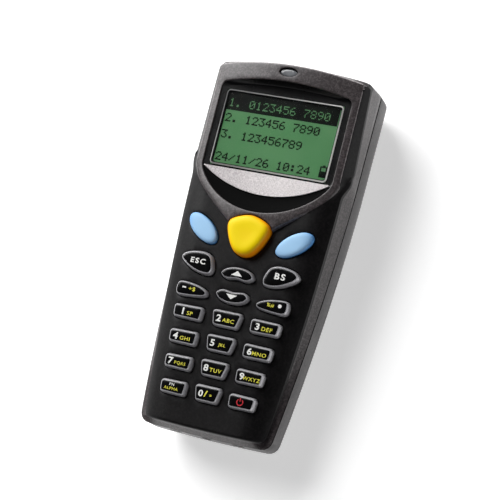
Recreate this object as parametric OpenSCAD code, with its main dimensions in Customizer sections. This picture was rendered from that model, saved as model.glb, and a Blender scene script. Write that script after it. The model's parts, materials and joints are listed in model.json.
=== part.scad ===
// Handheld barcode data terminal, lying on its back.
// +X is right, +Y is towards the head, +Z is out of the front face.
// The origin is under the middle of the case, on the surface it lies on.

/* [Case] */
// Overall length of the case
case_len = 122; // [120:0.5:128]
// Width across the head, the widest part
case_w = 56; // [55:0.5:60]
// Overall depth at the top of the head
case_h = 32; // [31.5:0.5:34]
// Width across the bottom end
foot_w = 45; // [44:0.5:50]
// Distance of the widest place above mid length
wide_y = 22; // [18:1:28]
// Height of the parting line above the back
part_z = 17; // [16.5:0.25:17.5]
// Slope of the key deck, rising to the head, in degrees
deck_tilt = 4; // [3.5:0.25:4.25]
// Wall of the two covers
wall = 1.8; // [1.5:0.1:2]
// Radius along the back edges
back_r = 11; // [9:0.5:12]
// Radius of the case corners in plan
corner_r = 3.5; // [2.5:0.5:5]
// Radius of the domed sides of the key deck
deck_roll_r = 14; // [12:1:18]

/* [Head] */
// Rise of the head over the key deck
head_rise = 2; // [1.6:0.1:2.4]
// Radius of the domed front of the head
head_dome_r = 95; // [85:5:120]
// Width of the display window
window_w = 41; // [39:0.5:42]
// Height of the display window
window_h = 25.6; // [24:0.2:26.5]
// Distance of the window centre below the top end
window_drop = 23.1; // [22.7:0.1:23.5]
// Depth of the display floor below the key deck
floor_depth = 1.2; // [1:0.1:1.5]
// Thickness of the display surround
bezel_t = 0.8; // [0.6:0.1:1]
// Width of the status light lens
led_w = 6.2; // [5:0.2:7]
// Height of the status light lens
led_h = 3; // [2.4:0.2:3.4]

/* [Keys] */
// Travel of a key
key_travel = 0.8; // [0.5:0.1:1]
// Height of a key above the deck
key_rise = 1.9; // [1.4:0.1:2.2]
// Inward slope of a key between its foot and its face
key_bevel = 1.05; // [0.8:0.05:1.2]
// Distance between rows of number keys
key_pitch = 8.1; // [7.8:0.1:8.2]
// Place of the first number row below mid length
key_row_y = 24.3; // [24:0.1:24.8]
// Distance of the outer number keys from the middle, top row
key_col_x = 13.4; // [13:0.1:13.8]
// Clearance around a key in the deck
key_gap = 0.3; // [0.25:0.05:0.4]
// Radius of a key plunger
plunger_r = 1.4; // [1.2:0.1:1.5]

/* [Batteries] */
// Radius of an AAA cell
cell_r = 5.25; // [5:0.05:5.25]
// Length of an AAA cell with its cap
cell_len = 44.5; // [44:0.1:45]
// Gap around a cell in its bay
cell_gap = 0.3; // [0.2:0.05:0.4]
// Wall of the battery bay
bay_wall = 1.1; // [0.9:0.1:1.2]
// Wall of the battery cover
cover_t = 1.3; // [1.2:0.1:1.4]
// Distance of the battery cover edge from the bay
cover_lap = 7; // [6.5:0.5:8]
// Height of the battery cover sides
cover_h = 10; // [9.5:0.25:10.5]
// Running gap around the battery cover
cover_gap = 0.3; // [0.2:0.05:0.4]

/* [Electronics] */
// Thickness of the main board
board_t = 1.2; // [1:0.1:1.2]
// Depth of the board top below the key deck
board_depth = 7.2; // [7:0.1:7.4]
// Thickness of the rubber keypad mat
mat_t = 0.8; // [0.6:0.1:1]
// Thickness of the display glass
glass_t = 1.8; // [1.4:0.1:2]
// Radius of the buzzer
buzzer_r = 5.5; // [5:0.25:6]
// Radius of the backup coin cell
coin_r = 6.25; // [5:0.25:6.25]

/* [Scan engine] */
// Width of the scan window
scan_w = 32; // [28:1:36]
// Height of the scan window
scan_h = 8; // [7:0.5:9]
// Height of the scan window centre above the back
scan_z = 9; // [8.5:0.25:9.5]
// Thickness of the scan window
scan_t = 1.2; // [1:0.1:1.5]
// Radius of the mirror pivot
pivot_r = 0.6; // [0.5:0.05:0.8]
// Clearance of the mirror hub on its pivot
pivot_gap = 0.05; // [0.03:0.01:0.08]

/* [Screws] */
// Radius of a screw shank
screw_r = 1; // [0.8:0.05:1.1]
// Radius of a screw head
screw_head_r = 1.9; // [1.7:0.05:2]
// Height of a screw head
screw_head_h = 1.3; // [1:0.1:1.5]
// Wall of a screw boss around its bore
boss_wall = 1.3; // [1.1:0.1:1.4]
// Clearance of a screw in its bore
screw_gap = 0.05; // [0.02:0.01:0.1]

/* [Hidden] */

far = 200;
sliver = 0.01;
fine = 0.3;
half_len = case_len / 2;
half_w = case_w / 2;
window_y = half_len - window_drop;

// The key deck has its own frame: origin over mid length, +Y along the deck to the head.
top_y = half_len - 0.6;
deck_z = case_h - head_rise * cos(deck_tilt) - top_y * sin(deck_tilt);

module on_deck() { translate([0, 0, deck_z]) rotate([deck_tilt, 0, 0]) children(); }

// Height of the deck plane over the back, at a place along the case
function deck_height(y) = deck_z + y * tan(deck_tilt);

// Half width of the case in plan: straight at the head, bowing in to the bottom end
side_start = 0.021;
side_span = wide_y + half_len;
side_bow = (half_w - foot_w / 2 - side_start * side_span) / (side_span * side_span);
head_taper = 0.006;
function side_x(y) = y > wide_y
    ? half_w - (y - wide_y) * head_taper
    : half_w - (wide_y - y) * side_start - pow(wide_y - y, 2) * side_bow;

// Plan of the case, drawn in from the sides, the top and the bottom. The head end is arched on
// the deck and almost straight from the cheeks down.
top_arc_r = 158;
parting_arc_r = 500;
foot_arc_r = 500;
head_corner_share = 0.5;
cheek_fade = 0.7;
side_steps = 10;
end_steps = 8;
function side_y(i, top, foot) = -half_len + foot + (case_len - top - foot) * i / side_steps;
function end_x(i, w) = w * (1 - 2 * i / end_steps);
function sag(x, r) = x * x / (2 * r);
function turned(a) = [cos(a), sin(a)];

// Arc of radius r that rounds the corner b of a path through a, b and c, turning left
arc_steps = 4;
function rounded_corner(a, b, c, r) =
    let (u = (a - b) / norm(a - b), v = (c - b) / norm(c - b), half = acos(u * v) / 2,
        centre = b + (u + v) / norm(u + v) * r / sin(half), from = atan2(u[1], u[0]) + 90)
    [for (i = [0 : arc_steps]) centre + r * turned(from + (180 - 2 * half) * i / arc_steps)];

function flipped(p) = [for (i = [len(p) - 1 : -1 : 0]) [-p[i][0], p[i][1]]];

// bulge pushes the sides out again beside the head, most where the head begins
function swell(y, bulge) =
    y > wide_y ? bulge * (1 - cheek_fade * (y - wide_y) / (half_len - wide_y)) : 0;
function plan(side, top, foot, corner, arc, bulge = 0) =
    let (top_w = side_x(half_len) - side + swell(half_len, bulge), foot_x = side_x(-half_len) - side,
        right = [for (i = [1 : side_steps - 1]) let (y = side_y(i, top, foot))
            [side_x(y) - side + swell(y, bulge), y]],
        head = [for (i = [0 : end_steps]) let (x = end_x(i, top_w))
            [x, half_len - top - sag(x, arc)]],
        end = [for (i = [end_steps : -1 : 0]) let (x = end_x(i, foot_x))
            [x, foot - half_len + sag(x, foot_arc_r)]],
        foot_corner = rounded_corner(end[end_steps - 1], end[end_steps], right[0], corner),
        head_r = corner * head_corner_share,
        head_corner = rounded_corner(right[side_steps - 2], head[0], head[1], head_r))
    concat(foot_corner, right, head_corner, [for (i = [1 : end_steps - 1]) head[i]],
        flipped(head_corner), flipped(right), flipped(foot_corner),
        [for (i = [1 : end_steps - 1]) end[i]]);

module plan_shape(side, top, foot, corner, arc) { polygon(plan(side, top, foot, corner, arc)); }

// Closed solid through rings of equally many points, from the lowest ring to the highest
module loft(rings) {
    n = len(rings[0]);
    last = (len(rings) - 1) * n;
    sides = [for (k = [0 : n : last - n]) for (i = [0 : n - 1]) let (j = (i + 1) % n)
        each [[k + i, k + i + n, k + j + n], [k + i, k + j + n, k + j]]];
    polyhedron([for (r = rings) each r],
        concat([[for (i = [0 : n - 1]) i]], [[for (i = [n - 1 : -1 : 0]) last + i]], sides));
}

function level(p, z) = [for (q = p) [q[0], q[1], z]];
function deck_level(p, z) = [for (q = p) [q[0], q[1] * cos(deck_tilt) - z * sin(deck_tilt),
    deck_z + q[1] * sin(deck_tilt) + z * cos(deck_tilt)]];

// Shoulder of the key deck: flat in the middle, domed to the sides
roll_start = 10.5;
shoulder = 1.9;
roll_end = asin((roll_start - shoulder) / deck_roll_r);
roll_steps = 4;
deck_head = 0.15;
deck_foot = 1.6;
deck_corner = 2;
cheek_side = 1.5;
cheek_bulge = 1.3;
cheek_depth = 4.6;

// Outside of the front half. inset moves every wall in by that much.
module front_body(inset) {
    loft(concat([
        level(plan(inset, inset, inset, corner_r, parting_arc_r), part_z - inset),
        deck_level(plan(cheek_side + inset, deck_head + inset, deck_foot + inset, corner_r, parting_arc_r,
            cheek_bulge), -cheek_depth - inset)],
        [for (i = [roll_steps : -1 : 0]) let (a = roll_end * i / roll_steps)
            deck_level(plan(roll_start - deck_roll_r * sin(a) + inset, deck_head + inset,
                deck_foot * (1 - i / 10) + inset, deck_corner, top_arc_r),
                -deck_roll_r * (1 - cos(a)) - inset)]));
}

// Outside of the rear half, rounded along the back
end_r = 3;
foot_r = 4;
back_steps = 4;
module rear_body(inset) {
    loft(concat(
        [for (i = [back_steps : -1 : 0]) let (a = 90 * i / back_steps, in = 1 - cos(a))
            level(plan(inset + (back_r - inset) * in, inset + end_r * in, inset + foot_r * in, corner_r,
                parting_arc_r), inset + (back_r - inset) * (1 - sin(a)))],
        [level(plan(inset, inset, inset, corner_r, parting_arc_r), part_z + inset)]));
}

module above_parting() { translate([-far / 2, -far / 2, part_z]) cube(far); }

/* ---- head front ---- */
// The head stands proud of the key deck, down to a V whose point lies under the scan key.
v_point_y = window_y - 35.9;
v_corner_x = half_w - 4;
v_corner_y = window_y - 16.9;
v_cheek_y = window_y - 11.9;
head_edge_x = half_w - 3;
ridge_drop = 1.3;
ridge_slope = 57;

module head_plan() {
    polygon([[0, v_point_y], [v_corner_x, v_corner_y], [half_w - 2, v_cheek_y], [half_w, half_len],
        [-half_w, half_len], [2 - half_w, v_cheek_y], [-v_corner_x, v_corner_y]]);
}

// Room over the flat bevel that runs down each side of the head
module over_bevels() {
    for (s = [0, 1]) mirror([s, 0, 0]) translate([head_edge_x, 0, -ridge_drop])
        rotate([0, ridge_slope, 0]) translate([-far / 4, 0, 0]) cube([far, far, far]);
}

pad_head = 0.2;
module head_pad() {
    intersection() {
        on_deck() difference() {
            intersection() {
                translate([0, far / 2, head_rise - head_dome_r]) rotate([90, 0, 0])
                    cylinder(r = head_dome_r, h = far, $fn = 360);
                translate([0, 0, -cheek_depth + 1]) linear_extrude(cheek_depth + head_rise) head_plan();
            }
            over_bevels();
        }
        linear_extrude(far) plan_shape(shoulder, pad_head, 0, 3, top_arc_r);
    }
}

// Recess of the display: an arched top, straight sides and a round crescent below
recess_x = 22.7;
recess_top = window_y + 15;
recess_foot = window_y - 13.9;
recess_arch = 2.3;
crescent_low = window_y - 26.6;
plate_side = 22.3;
plate_top = window_y - window_h / 2 - 0.6;
plate_low = window_y - 20.5;
recess_slope = 1.4;

// Points of an arc from one side to the other, bulging to apex_y in the middle
function bow(side, edge_y, apex_y, steps) = [for (i = [0 : steps])
    let (x = side * (1 - 2 * i / steps),
        r = (side * side + pow(apex_y - edge_y, 2)) / (2 * abs(apex_y - edge_y)),
        turn = apex_y > edge_y ? 1 : -1)
    [x, apex_y - turn * (r - sqrt(r * r - x * x))]];

function reversed(p) = [for (i = [len(p) - 1 : -1 : 0]) p[i]];

module recess_mouth() {
    polygon(concat(bow(recess_x, recess_top, recess_top + recess_arch, 12),
        reversed(bow(recess_x, recess_foot, crescent_low, 16))));
}

module recess_floor() {
    floor_x = recess_x - recess_slope;
    floor_top = recess_top - recess_slope;
    polygon(concat(bow(floor_x, floor_top, floor_top + recess_arch, 12),
        reversed(bow(recess_x - 0.3, plate_top - 0.5, plate_low, 16))));
}

// grow widens the recess, sink lowers its floor and lift raises its mouth
module recess(grow, sink, lift = 0) {
    hull() {
        translate([0, 0, head_rise + lift]) linear_extrude(sliver) offset(delta = grow) recess_mouth();
        translate([0, 0, -floor_depth - sink]) linear_extrude(sliver) offset(delta = grow) recess_floor();
    }
}

module window_hole(grow) {
    translate([-window_w / 2 - grow, window_y - window_h / 2 - grow])
        square([window_w + 2 * grow, window_h + 2 * grow]);
}

module led_shape(grow) {
    translate([0, led_y]) scale([led_w / led_h, 1]) circle(r = led_h / 2 + grow, $fn = 48);
}
led_y = top_y - 1.9;

/* ---- keys ---- */
// Outlines are given at the foot of each key, in the frame of the deck.
key_round = 1.2;
flange_t = 0.8;
flange_side = 0.7;
flange_drop = 1.7;
flange_top = -wall - flange_drop - fine;
neck_lean = 0.1;
plunger_foot = -board_depth + mat_t + fine + key_travel;

module rounded(r) { offset(r = r, $fn = 16) offset(delta = -r) children(); }

// A key with flat face: cap, flange under the deck, and plunger over its contact
module key_solid(at, rise, bevel) {
    translate([at[0], at[1], 0]) {
        hull() {
            linear_extrude(sliver) children();
            translate([0, 0, rise - sliver]) linear_extrude(sliver) offset(delta = -bevel) children();
        }
        translate([0, 0, flange_top - flange_t / 2]) linear_extrude((rise + flange_t) / 2 - flange_top)
            offset(delta = -rise * neck_lean) children();
        translate([0, 0, flange_top - flange_t]) linear_extrude(flange_t) offset(delta = flange_side)
            children();
        translate([0, 0, plunger_foot]) cylinder(r = plunger_r, h = flange_top - plunger_foot, $fn = 32);
    }
}

// Number keys: rows close up towards the narrow end
key_names = ["1", "2", "3", "4", "5", "6", "7", "8", "9", "fn", "0", "power"];
row_shrink = 0.035;
side_key = [10.6, 4.9];
mid_key = [11, 5.5];
function row_of(i) = floor(i / 3);
function row_scale(i) = 1 - row_shrink * row_of(i);
function column(i) = (i % 3) - 1;
function number_key_at(i) = [column(i) * (key_col_x - 0.5 * row_of(i)),
    -key_row_y - key_pitch * row_of(i) + (column(i) == 0 ? 0.2 : 0)];

module side_key_shape(k, s) {
    w = side_key[0] * k / 2;
    h = side_key[1] / 2;
    rounded(key_round)
        polygon([[-w * s, h], [w * s, h - 0.2], [(w - 0.4) * s, 0.2 - h], [(0.3 - w) * s, -h]]);
}

module mid_key_shape(k) {
    w = mid_key[0] * k / 2;
    h = mid_key[1] / 2;
    rounded(key_round) polygon([[-w, h], [w, h], [w - 1.2, -h], [1.2 - w, -h]]);
}

module number_key_shape(i) {
    if (column(i) == 0) mid_key_shape(row_scale(i)); else side_key_shape(row_scale(i), column(i));
}

module number_key(name) {
    i = search([name], key_names)[0];
    color("#2b2b2d") on_deck() key_solid(number_key_at(i), key_rise, key_bevel) number_key_shape(i);
}

// Scan key: a rounded shield
scan_at = [0, 3.6];
module scan_shape() {
    rounded(2.4) polygon([[0, 6.7], [3.4, 6], [7.3, 4.2], [7.1, 1], [5.6, -3], [2.9, -6.1], [0, -7.1],
        [-2.9, -6.1], [-5.6, -3], [-7.1, 1], [-7.3, 4.2], [-3.4, 6]]);
}

// Side keys: slanted ovals, mirrored left and right
oval_at = [15.9, 3.4];
oval_len = 13.2;
oval_w = 6.4;
oval_turn = 36;
module oval_shape(s) {
    rotate(oval_turn * s) scale([1, oval_w / oval_len]) circle(r = oval_len / 2, $fn = 48);
}

escape_at = [14.2, -7.7];
module escape_shape(s) {
    rounded(1.5) scale([s, 1]) polygon([[6.2, 0.9], [4.6, 3.1], [-1.6, 3.7], [-5, 1.4], [-5.6, -1.6],
        [-4, -4], [-0.6, -3.4], [4, -1.2]]);
}

arrow_y = [-9.4, -16.7];
arrow_w = 11.4;
arrow_h = 4.4;
module arrow_shape(s) {
    rounded(0.8) scale([1, s]) polygon([[-arrow_w / 2, -0.3], [-arrow_w * 0.38, arrow_h / 3],
        [-arrow_w / 6, arrow_h / 2], [arrow_w / 6, arrow_h / 2], [arrow_w * 0.38, arrow_h / 3],
        [arrow_w / 2, -0.3], [arrow_w / 3, -arrow_h / 2], [-arrow_w / 3, -arrow_h / 2]]);
}

sign_at = [14, -17.1];
module sign_shape(s) {
    rounded(1.1) scale([s, 1])
        polygon([[5.4, 0.8], [4.9, 2.4], [2.6, 2.6], [-2.2, 1.9], [-5.6, 0.1], [-5.6, -1.2],
            [-4.2, -1.9], [0.4, -2.3], [4.6, -2.4], [5.4, -1.2]]);
}

module all_key_shapes(grow) {
    for (i = [0 : len(key_names) - 1]) translate(number_key_at(i))
        offset(delta = grow) number_key_shape(i);
    translate(scan_at) offset(delta = grow) scan_shape();
    translate([0, arrow_y[0]]) offset(delta = grow) arrow_shape(1);
    translate([0, arrow_y[1]]) offset(delta = grow) arrow_shape(-1);
    for (s = [-1, 1]) {
        translate([s * oval_at[0], oval_at[1]]) offset(delta = grow) oval_shape(s);
        translate([s * escape_at[0], escape_at[1]]) offset(delta = grow) escape_shape(s);
        translate([s * sign_at[0], sign_at[1]]) offset(delta = grow) sign_shape(s);
    }
}

/* ---- screws ---- */
head_screw_at = [half_w - 6.5, half_len - 6];
mid_screw_y = -11.8;
mid_screw_at = [side_x(mid_screw_y) - 5.4, mid_screw_y];
foot_screw_at = [foot_w / 2 - 4.7, 6 - half_len];
boss_r = screw_r + boss_wall;
boss_depth = 3.4;
screw_seat_head = 6;
screw_seat_handle = cover_h + screw_head_h + 0.5;

function boss_top(y) = deck_height(y) - boss_depth;
module screw_places() {
    for (s = [-1, 1]) {
        translate([s * head_screw_at[0], head_screw_at[1], 0]) children(0);
        translate([s * mid_screw_at[0], mid_screw_at[1], 0]) children(1);
        translate([s * foot_screw_at[0], foot_screw_at[1], 0]) children(2);
    }
}

module rod(r, z0, z1) { translate([0, 0, z0]) cylinder(r = r, h = z1 - z0, $fn = 48); }

module case_screw(seat, tip) {
    rod(screw_r, seat, tip);
    rod(screw_head_r, seat - screw_head_h, seat);
}

module case_screws() {
    color("silver") screw_places() {
        case_screw(screw_seat_head, boss_top(head_screw_at[1]) - 2);
        case_screw(screw_seat_handle, boss_top(mid_screw_at[1]) - 1);
        case_screw(screw_seat_handle, boss_top(foot_screw_at[1]) - 0.8);
    }
}

/* ---- covers ---- */
module front_cover() {
    color("#2a2829") difference() {
        union() {
            intersection() { front_body(0); above_parting(); }
            head_pad();
        }
        difference() {
            front_body(wall);
            on_deck() {
                recess(wall - bezel_t + 0.2, bezel_t + 1.2);
                board_screw_places() rod(boss_r, -board_depth, -wall);
            }
            screw_places() {
                rod(boss_r, part_z, boss_top(head_screw_at[1]));
                rod(boss_r, part_z, boss_top(mid_screw_at[1]));
                rod(boss_r, part_z, boss_top(foot_screw_at[1]));
            }
        }
        screw_places() {
            rod(screw_r + screw_gap, part_z - 1, boss_top(head_screw_at[1]) - 1.2);
            rod(screw_r + screw_gap, part_z - 1, boss_top(mid_screw_at[1]) - 0.6);
            rod(screw_r + screw_gap, part_z - 1, boss_top(foot_screw_at[1]) - 0.5);
        }
        on_deck() {
            recess(0.03, bezel_t);
            board_screw_places() rod(screw_r + screw_gap, -board_depth - 1, board_screw_tip + fine);
            translate([0, 0, -far / 2]) linear_extrude(far) window_hole(-1);
            translate([0, 0, lens_foot - fine]) linear_extrude(far) led_shape(fine / 2);
            translate([0, 0, -wall - 5]) linear_extrude(far) all_key_shapes(key_gap);
        }
    }
}

cover_top = cover_h - cover_gap;
bay_x = 2 * cell_r + cell_gap * 1.5;
bay_len = cell_len + 2.9;
bay_foot = 7.6 - half_len;
bay_head = bay_foot + bay_len;
cover_y = bay_head + cover_lap;
cell_z = cover_t + cell_gap + cell_r;
bay_top = cell_z + cell_r + cell_gap;
bay_skirt = 3.4;
web_t = 1.3;

module bay_block(grow, z0, z1) {
    translate([-bay_x - grow, bay_foot - grow, z0])
        cube([2 * (bay_x + grow), bay_len + 2 * grow, z1 - z0]);
}

// Room that the battery cover takes out of the rear half
module cover_room(gap) {
    translate([-far / 2, -far, -far]) cube([far, far + cover_y + gap, far + cover_h]);
}

module scan_slot(grow, y0, y1) {
    translate([-scan_w / 2 - grow, y0, scan_z - scan_h / 2 - grow])
        cube([scan_w + 2 * grow, y1 - y0, scan_h + 2 * grow]);
}

seal_w = 0.6;
seal_h = 0.6;
module seal_shape(grow) {
    difference() {
        plan_shape(seal_w - grow, seal_w - grow, seal_w - grow, corner_r, parting_arc_r);
        plan_shape(2 * seal_w + grow, 2 * seal_w + grow, 2 * seal_w + grow, corner_r - seal_w,
            parting_arc_r);
    }
}

buzzer_at = [12, 14];
buzzer_h = 3.2;
scan_face = half_len - sag(scan_w / 2, parting_arc_r);
scan_sunk = 1.2;

module rear_cover() {
    color("#333032") difference() {
        union() {
            difference() {
                rear_body(0);
                difference() {
                    rear_body(wall);
                    translate([-far / 2, cover_y - web_t, 0]) cube([far, wall + web_t, cover_h]);
                    translate([-far / 2, -far, cover_h - web_t])
                        cube([far, far + cover_y + wall, 2 * web_t]);
                    bay_block(bay_wall, bay_skirt, bay_top + bay_wall);
                    screw_places() {
                        rod(boss_r + 0.6, 0, far);
                        rod(boss_r + 0.4, cover_h - web_t / 2, far);
                        rod(boss_r + 0.4, cover_h - web_t / 2, far);
                    }
                    translate([buzzer_at[0], buzzer_at[1], 0]) rod(buzzer_r + 1.1, 0, wall + 1.6);
                }
                cover_room(0);
            }
            bay_block(bay_wall, bay_skirt, cover_h + web_t / 2);
            rails();
        }
        bay_block(0, -1, bay_top);
        screw_places() {
            union() { rod(screw_r + 0.1, -1, far); rod(screw_head_r + 0.1, -1, screw_seat_head); }
            union() { rod(screw_r + 0.1, -1, far); rod(screw_head_r + 0.1, -1, screw_seat_handle); }
            union() { rod(screw_r + 0.1, -1, far); rod(screw_head_r + 0.1, -1, screw_seat_handle); }
        }
        scan_slot(0, half_len - 6, far);
        scan_slot(1 + fine / 10, half_len - 6, scan_face - scan_sunk);
        translate([0, 0, part_z - seal_h]) linear_extrude(far) seal_shape(0.02);
        translate([buzzer_at[0], buzzer_at[1], 0]) {
            rod(buzzer_r + 0.1, wall, wall + 2);
            for (a = [0 : 60 : 300]) rotate(a) translate([2.6, 0, 0]) rod(0.6, -1, wall + 1);
            rod(0.6, -1, wall + 1);
        }
        charge_pads(0.02, 2);
        ir_rod(ir_r + 0.02, -1, ir_len + 4);
    }
}

module battery_cover() {
    color("#262425") difference() {
        union() {
            difference() {
                intersection() {
                    rear_body(0);
                    translate([0, 0, -sliver]) linear_extrude(cover_top + sliver)
                        translate([-far / 2, -far]) square([far, far + cover_y - cover_gap]);
                }
                rear_body(cover_t);
            }
            rail_hooks();
        }
        for (i = [0 : 5]) translate([0, cover_y - 6 - 2 * i, 0]) rotate([0, 90, 0])
            cylinder(r = 0.5, h = 18, center = true, $fn = 24);
    }
}

// Rails: ledges on the bay walls, and hooks in the battery cover that run under them
rail_y = [bay_foot + 3, bay_head - 2];
rail_z = 4.2;
rail_t = 1;
rail_reach = 1;
hook_x = bay_x + bay_wall + rail_reach + cover_gap;
module rails() {
    for (s = [0, 1]) mirror([s, 0, 0]) translate([bay_x + bay_wall - sliver, rail_y[0], rail_z])
        cube([rail_reach + sliver, rail_y[1] - rail_y[0], rail_t]);
}
module rail_hooks() {
    hook_top = rail_z + rail_t + cover_gap;
    for (s = [0, 1]) mirror([s, 0, 0]) translate([0, rail_y[0], 0]) {
        translate([hook_x, 0, cover_t - fine])
            cube([rail_t, rail_y[1] - rail_y[0], hook_top + rail_t - cover_t + fine]);
        translate([hook_x - rail_reach, 0, hook_top])
            cube([rail_reach + rail_t, rail_y[1] - rail_y[0], rail_t]);
    }
}

module housing_seal() {
    color("black") translate([0, 0, part_z - seal_h]) linear_extrude(seal_h) seal_shape(0);
}

/* ---- display ---- */
module display_bezel() {
    color("#0c0c0e") on_deck() difference() {
        recess(0, bezel_t);
        recess(-bezel_t, 0, fine);
        translate([0, 0, -5]) linear_extrude(far) window_hole(0.1);
        translate([0, far / 2, head_rise - head_dome_r]) rotate([90, 0, 0]) difference() {
            cylinder(r = head_dome_r + 20, h = far, $fn = 360);
            cylinder(r = head_dome_r, h = far, $fn = 360);
        }
    }
}

window_proud = 0.3;
module display_window() {
    color("#4f7d55", 0.5) on_deck() translate([0, 0, -floor_depth - bezel_t])
        linear_extrude(bezel_t + window_proud) rounded(1.5) window_hole(0);
}

plate_t = 0.3;
module name_plate() {
    color("#b9b4b5") on_deck() translate([0, 0, -floor_depth]) linear_extrude(plate_t)
        polygon(concat([[plate_side - 1.6, plate_top], [1.6 - plate_side, plate_top]],
            reversed(bow(plate_side - 1.6, plate_top - 0.3, plate_low + 0.9, 16))));
}

glass_top = -floor_depth - bezel_t - 1.2 - fine;
glass_rim = 1.2;
frame_t = 0.3;
light_t = 1.6;
module display_block(grow, z0, z1) {
    translate([-window_w / 2 - grow, window_y - window_h / 2 - grow, z0])
        cube([window_w + 2 * grow, window_h + 2 * grow, z1 - z0]);
}
module lcd_glass() {
    color("#5c8f63") on_deck() display_block(glass_rim / 2, glass_top - glass_t, glass_top);
}

module backlight_panel() {
    color("#e8ecd8") on_deck()
        display_block(glass_rim / 2, glass_top - glass_t - light_t, glass_top - glass_t);
}

module lcd_frame() {
    color("silver") on_deck() difference() {
        display_block(glass_rim, -board_depth, glass_top + frame_t - 0.05);
        display_block(glass_rim / 2 + 0.05, -board_depth - 1, glass_top);
        display_block(-1, -board_depth - 1, 0);
        translate([-6, window_y - window_h, -board_depth - 1]) cube([12, window_h, 2.2]);
    }
}

// Flat cable from the foot of the display glass to the board
module lcd_flex() {
    color("#c98a2b") on_deck() translate([-5, window_y - window_h / 2 - 4, -board_depth])
        cube([10, 3.8 + glass_rim, 0.15]);
}

lens_foot = -wall - 1.2;
lens_sunk = 0.4;
module status_lens() {
    color("#8f9296") on_deck() {
        translate([0, 0, lens_foot]) linear_extrude(head_rise - lens_sunk - lens_foot) led_shape(0);
    }
}

module status_led() {
    color("white") on_deck() translate([-1.6, board_tab_y - 2, -board_depth]) cube([3.2, 1.8, 1.2]);
}

/* ---- keypad ---- */
mat_edge = 0.8;
module keypad_mat() {
    color("#3a3a3c") on_deck() translate([0, 0, -board_depth]) linear_extrude(mat_t)
        rounded(2) polygon([[board_x - mat_edge, 9.5], [mat_edge - board_x, 9.5],
            [mat_edge - board_x, board_foot + mat_edge], [board_x - mat_edge, board_foot + mat_edge]]);
}

module key_scan() {
    color("#ffcf00") on_deck() key_solid(scan_at, head_rise + 1.6, key_bevel) scan_shape();
}
module oval_key(s) {
    color("#8fc4ee") on_deck()
        key_solid([s * oval_at[0], oval_at[1]], key_rise - 0.4, key_bevel) oval_shape(s);
}
module key_left() { oval_key(-1); }
module key_right() { oval_key(1); }
module escape_key(s) {
    color("#2b2b2d") on_deck()
        key_solid([s * escape_at[0], escape_at[1]], key_rise, key_bevel) escape_shape(s);
}
module key_esc() { escape_key(-1); }
module key_bs() { escape_key(1); }
module arrow_key(i, s) {
    color("#2b2b2d") on_deck() key_solid([0, arrow_y[i]], key_rise, key_bevel * 0.8) arrow_shape(s);
}
module key_up() { arrow_key(0, 1); }
module key_down() { arrow_key(1, -1); }
module sign_key(s) {
    color("#2b2b2d") on_deck()
        key_solid([s * sign_at[0], sign_at[1]], key_rise, key_bevel * 0.8) sign_shape(s);
}
module key_minus() { sign_key(-1); }
module key_dot() { sign_key(1); }

/* ---- electronics ---- */
board_x = 17.8;
board_head_x = window_w / 2 + glass_rim + 0.2;
board_foot = -50.5;
board_head = window_y + window_h / 2 + glass_rim;
board_neck_y = window_y - 23.9;
board_neck = 3;
board_tab = 8;
board_tab_y = led_y - 0.8;
module main_board() {
    color("#1f6b3a") on_deck() translate([0, 0, -board_depth - board_t]) difference() {
        linear_extrude(board_t) polygon([[board_x, board_foot], [board_x, board_neck_y],
            [board_head_x, board_neck_y + board_neck], [board_head_x, board_head],
            [board_tab, board_head], [board_tab, board_tab_y], [-board_tab, board_tab_y],
            [-board_tab, board_head], [-board_head_x, board_head],
            [-board_head_x, board_neck_y + board_neck], [-board_x, board_neck_y],
            [-board_x, board_foot]]);
        board_screw_places() rod(screw_r + screw_gap, -1, 5);
    }
}

board_screw_tip = -board_depth + 2.2;
module board_screw_places() {
    for (s = [-1, 1]) translate([s * (board_head_x - 2.4), board_neck_y + 6, 0]) children();
}

module board_screws() {
    color("silver") on_deck() translate([0, 0, -board_depth - board_t]) board_screw_places() {
        rod(screw_r, 0, board_depth + board_t + board_screw_tip);
        rod(screw_head_r, -1, 0);
    }
}

chip_t = 1.1;
module board_chips() {
    color("#18181a") on_deck() translate([0, 0, -board_depth - board_t - chip_t]) {
        translate([-5, 21, 0]) cube([13, 13, chip_t]);
        translate([-15, 23, 0]) cube([8, 11, chip_t]);
        translate([11, 26, 0]) cube([7, 7, chip_t]);
        translate([-13, -5, 0]) cube([10, 6, chip_t]);
        translate([4, 2, 0]) cube([6, 6, chip_t]);
    }
}

coin_at = [-12, 13];
coin_h = 2;
module backup_cell() {
    color("silver") on_deck() translate([coin_at[0], coin_at[1], -board_depth - board_t - coin_h - 0.3])
        cylinder(r = coin_r, h = coin_h, $fn = 48);
}

module backup_cell_clip() {
    color("#b8a04a") on_deck() translate([coin_at[0], coin_at[1], -board_depth - board_t]) {
        translate([-1.5, -coin_r - 0.9, -coin_h - 0.7]) cube([3, 2 * coin_r + 1.8, 0.4]);
        for (s = [-1, 1]) translate([-1.5, s * (coin_r + 0.5) - 0.4, -coin_h - 0.7])
            cube([3, 0.8, coin_h + 0.7]);
    }
}

module buzzer() {
    color("black") translate([buzzer_at[0], buzzer_at[1], 0]) difference() {
        rod(buzzer_r, wall, wall + buzzer_h);
        rod(0.8, wall - 1, wall + 1);
    }
}

/* ---- scan engine ---- */
engine_foot = 36;
engine_x = 11;
engine_head = half_len - wall - end_r - sag(engine_x, parting_arc_r) - fine;
engine_z = wall;
engine_top = 14;
engine_wall = 1.2;
mirror_at = [-4.5, 44];
mirror_turn = 45;
mirror_w = 8;
mirror_h = 6.4;
mirror_t = 0.8;
hub_wall = 0.6;
mirror_z = scan_z - mirror_h / 2;

module scan_window() {
    color("#5a1018", 0.7) scan_slot(1, scan_face - scan_sunk - scan_t, scan_face - scan_sunk);
}

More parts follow.
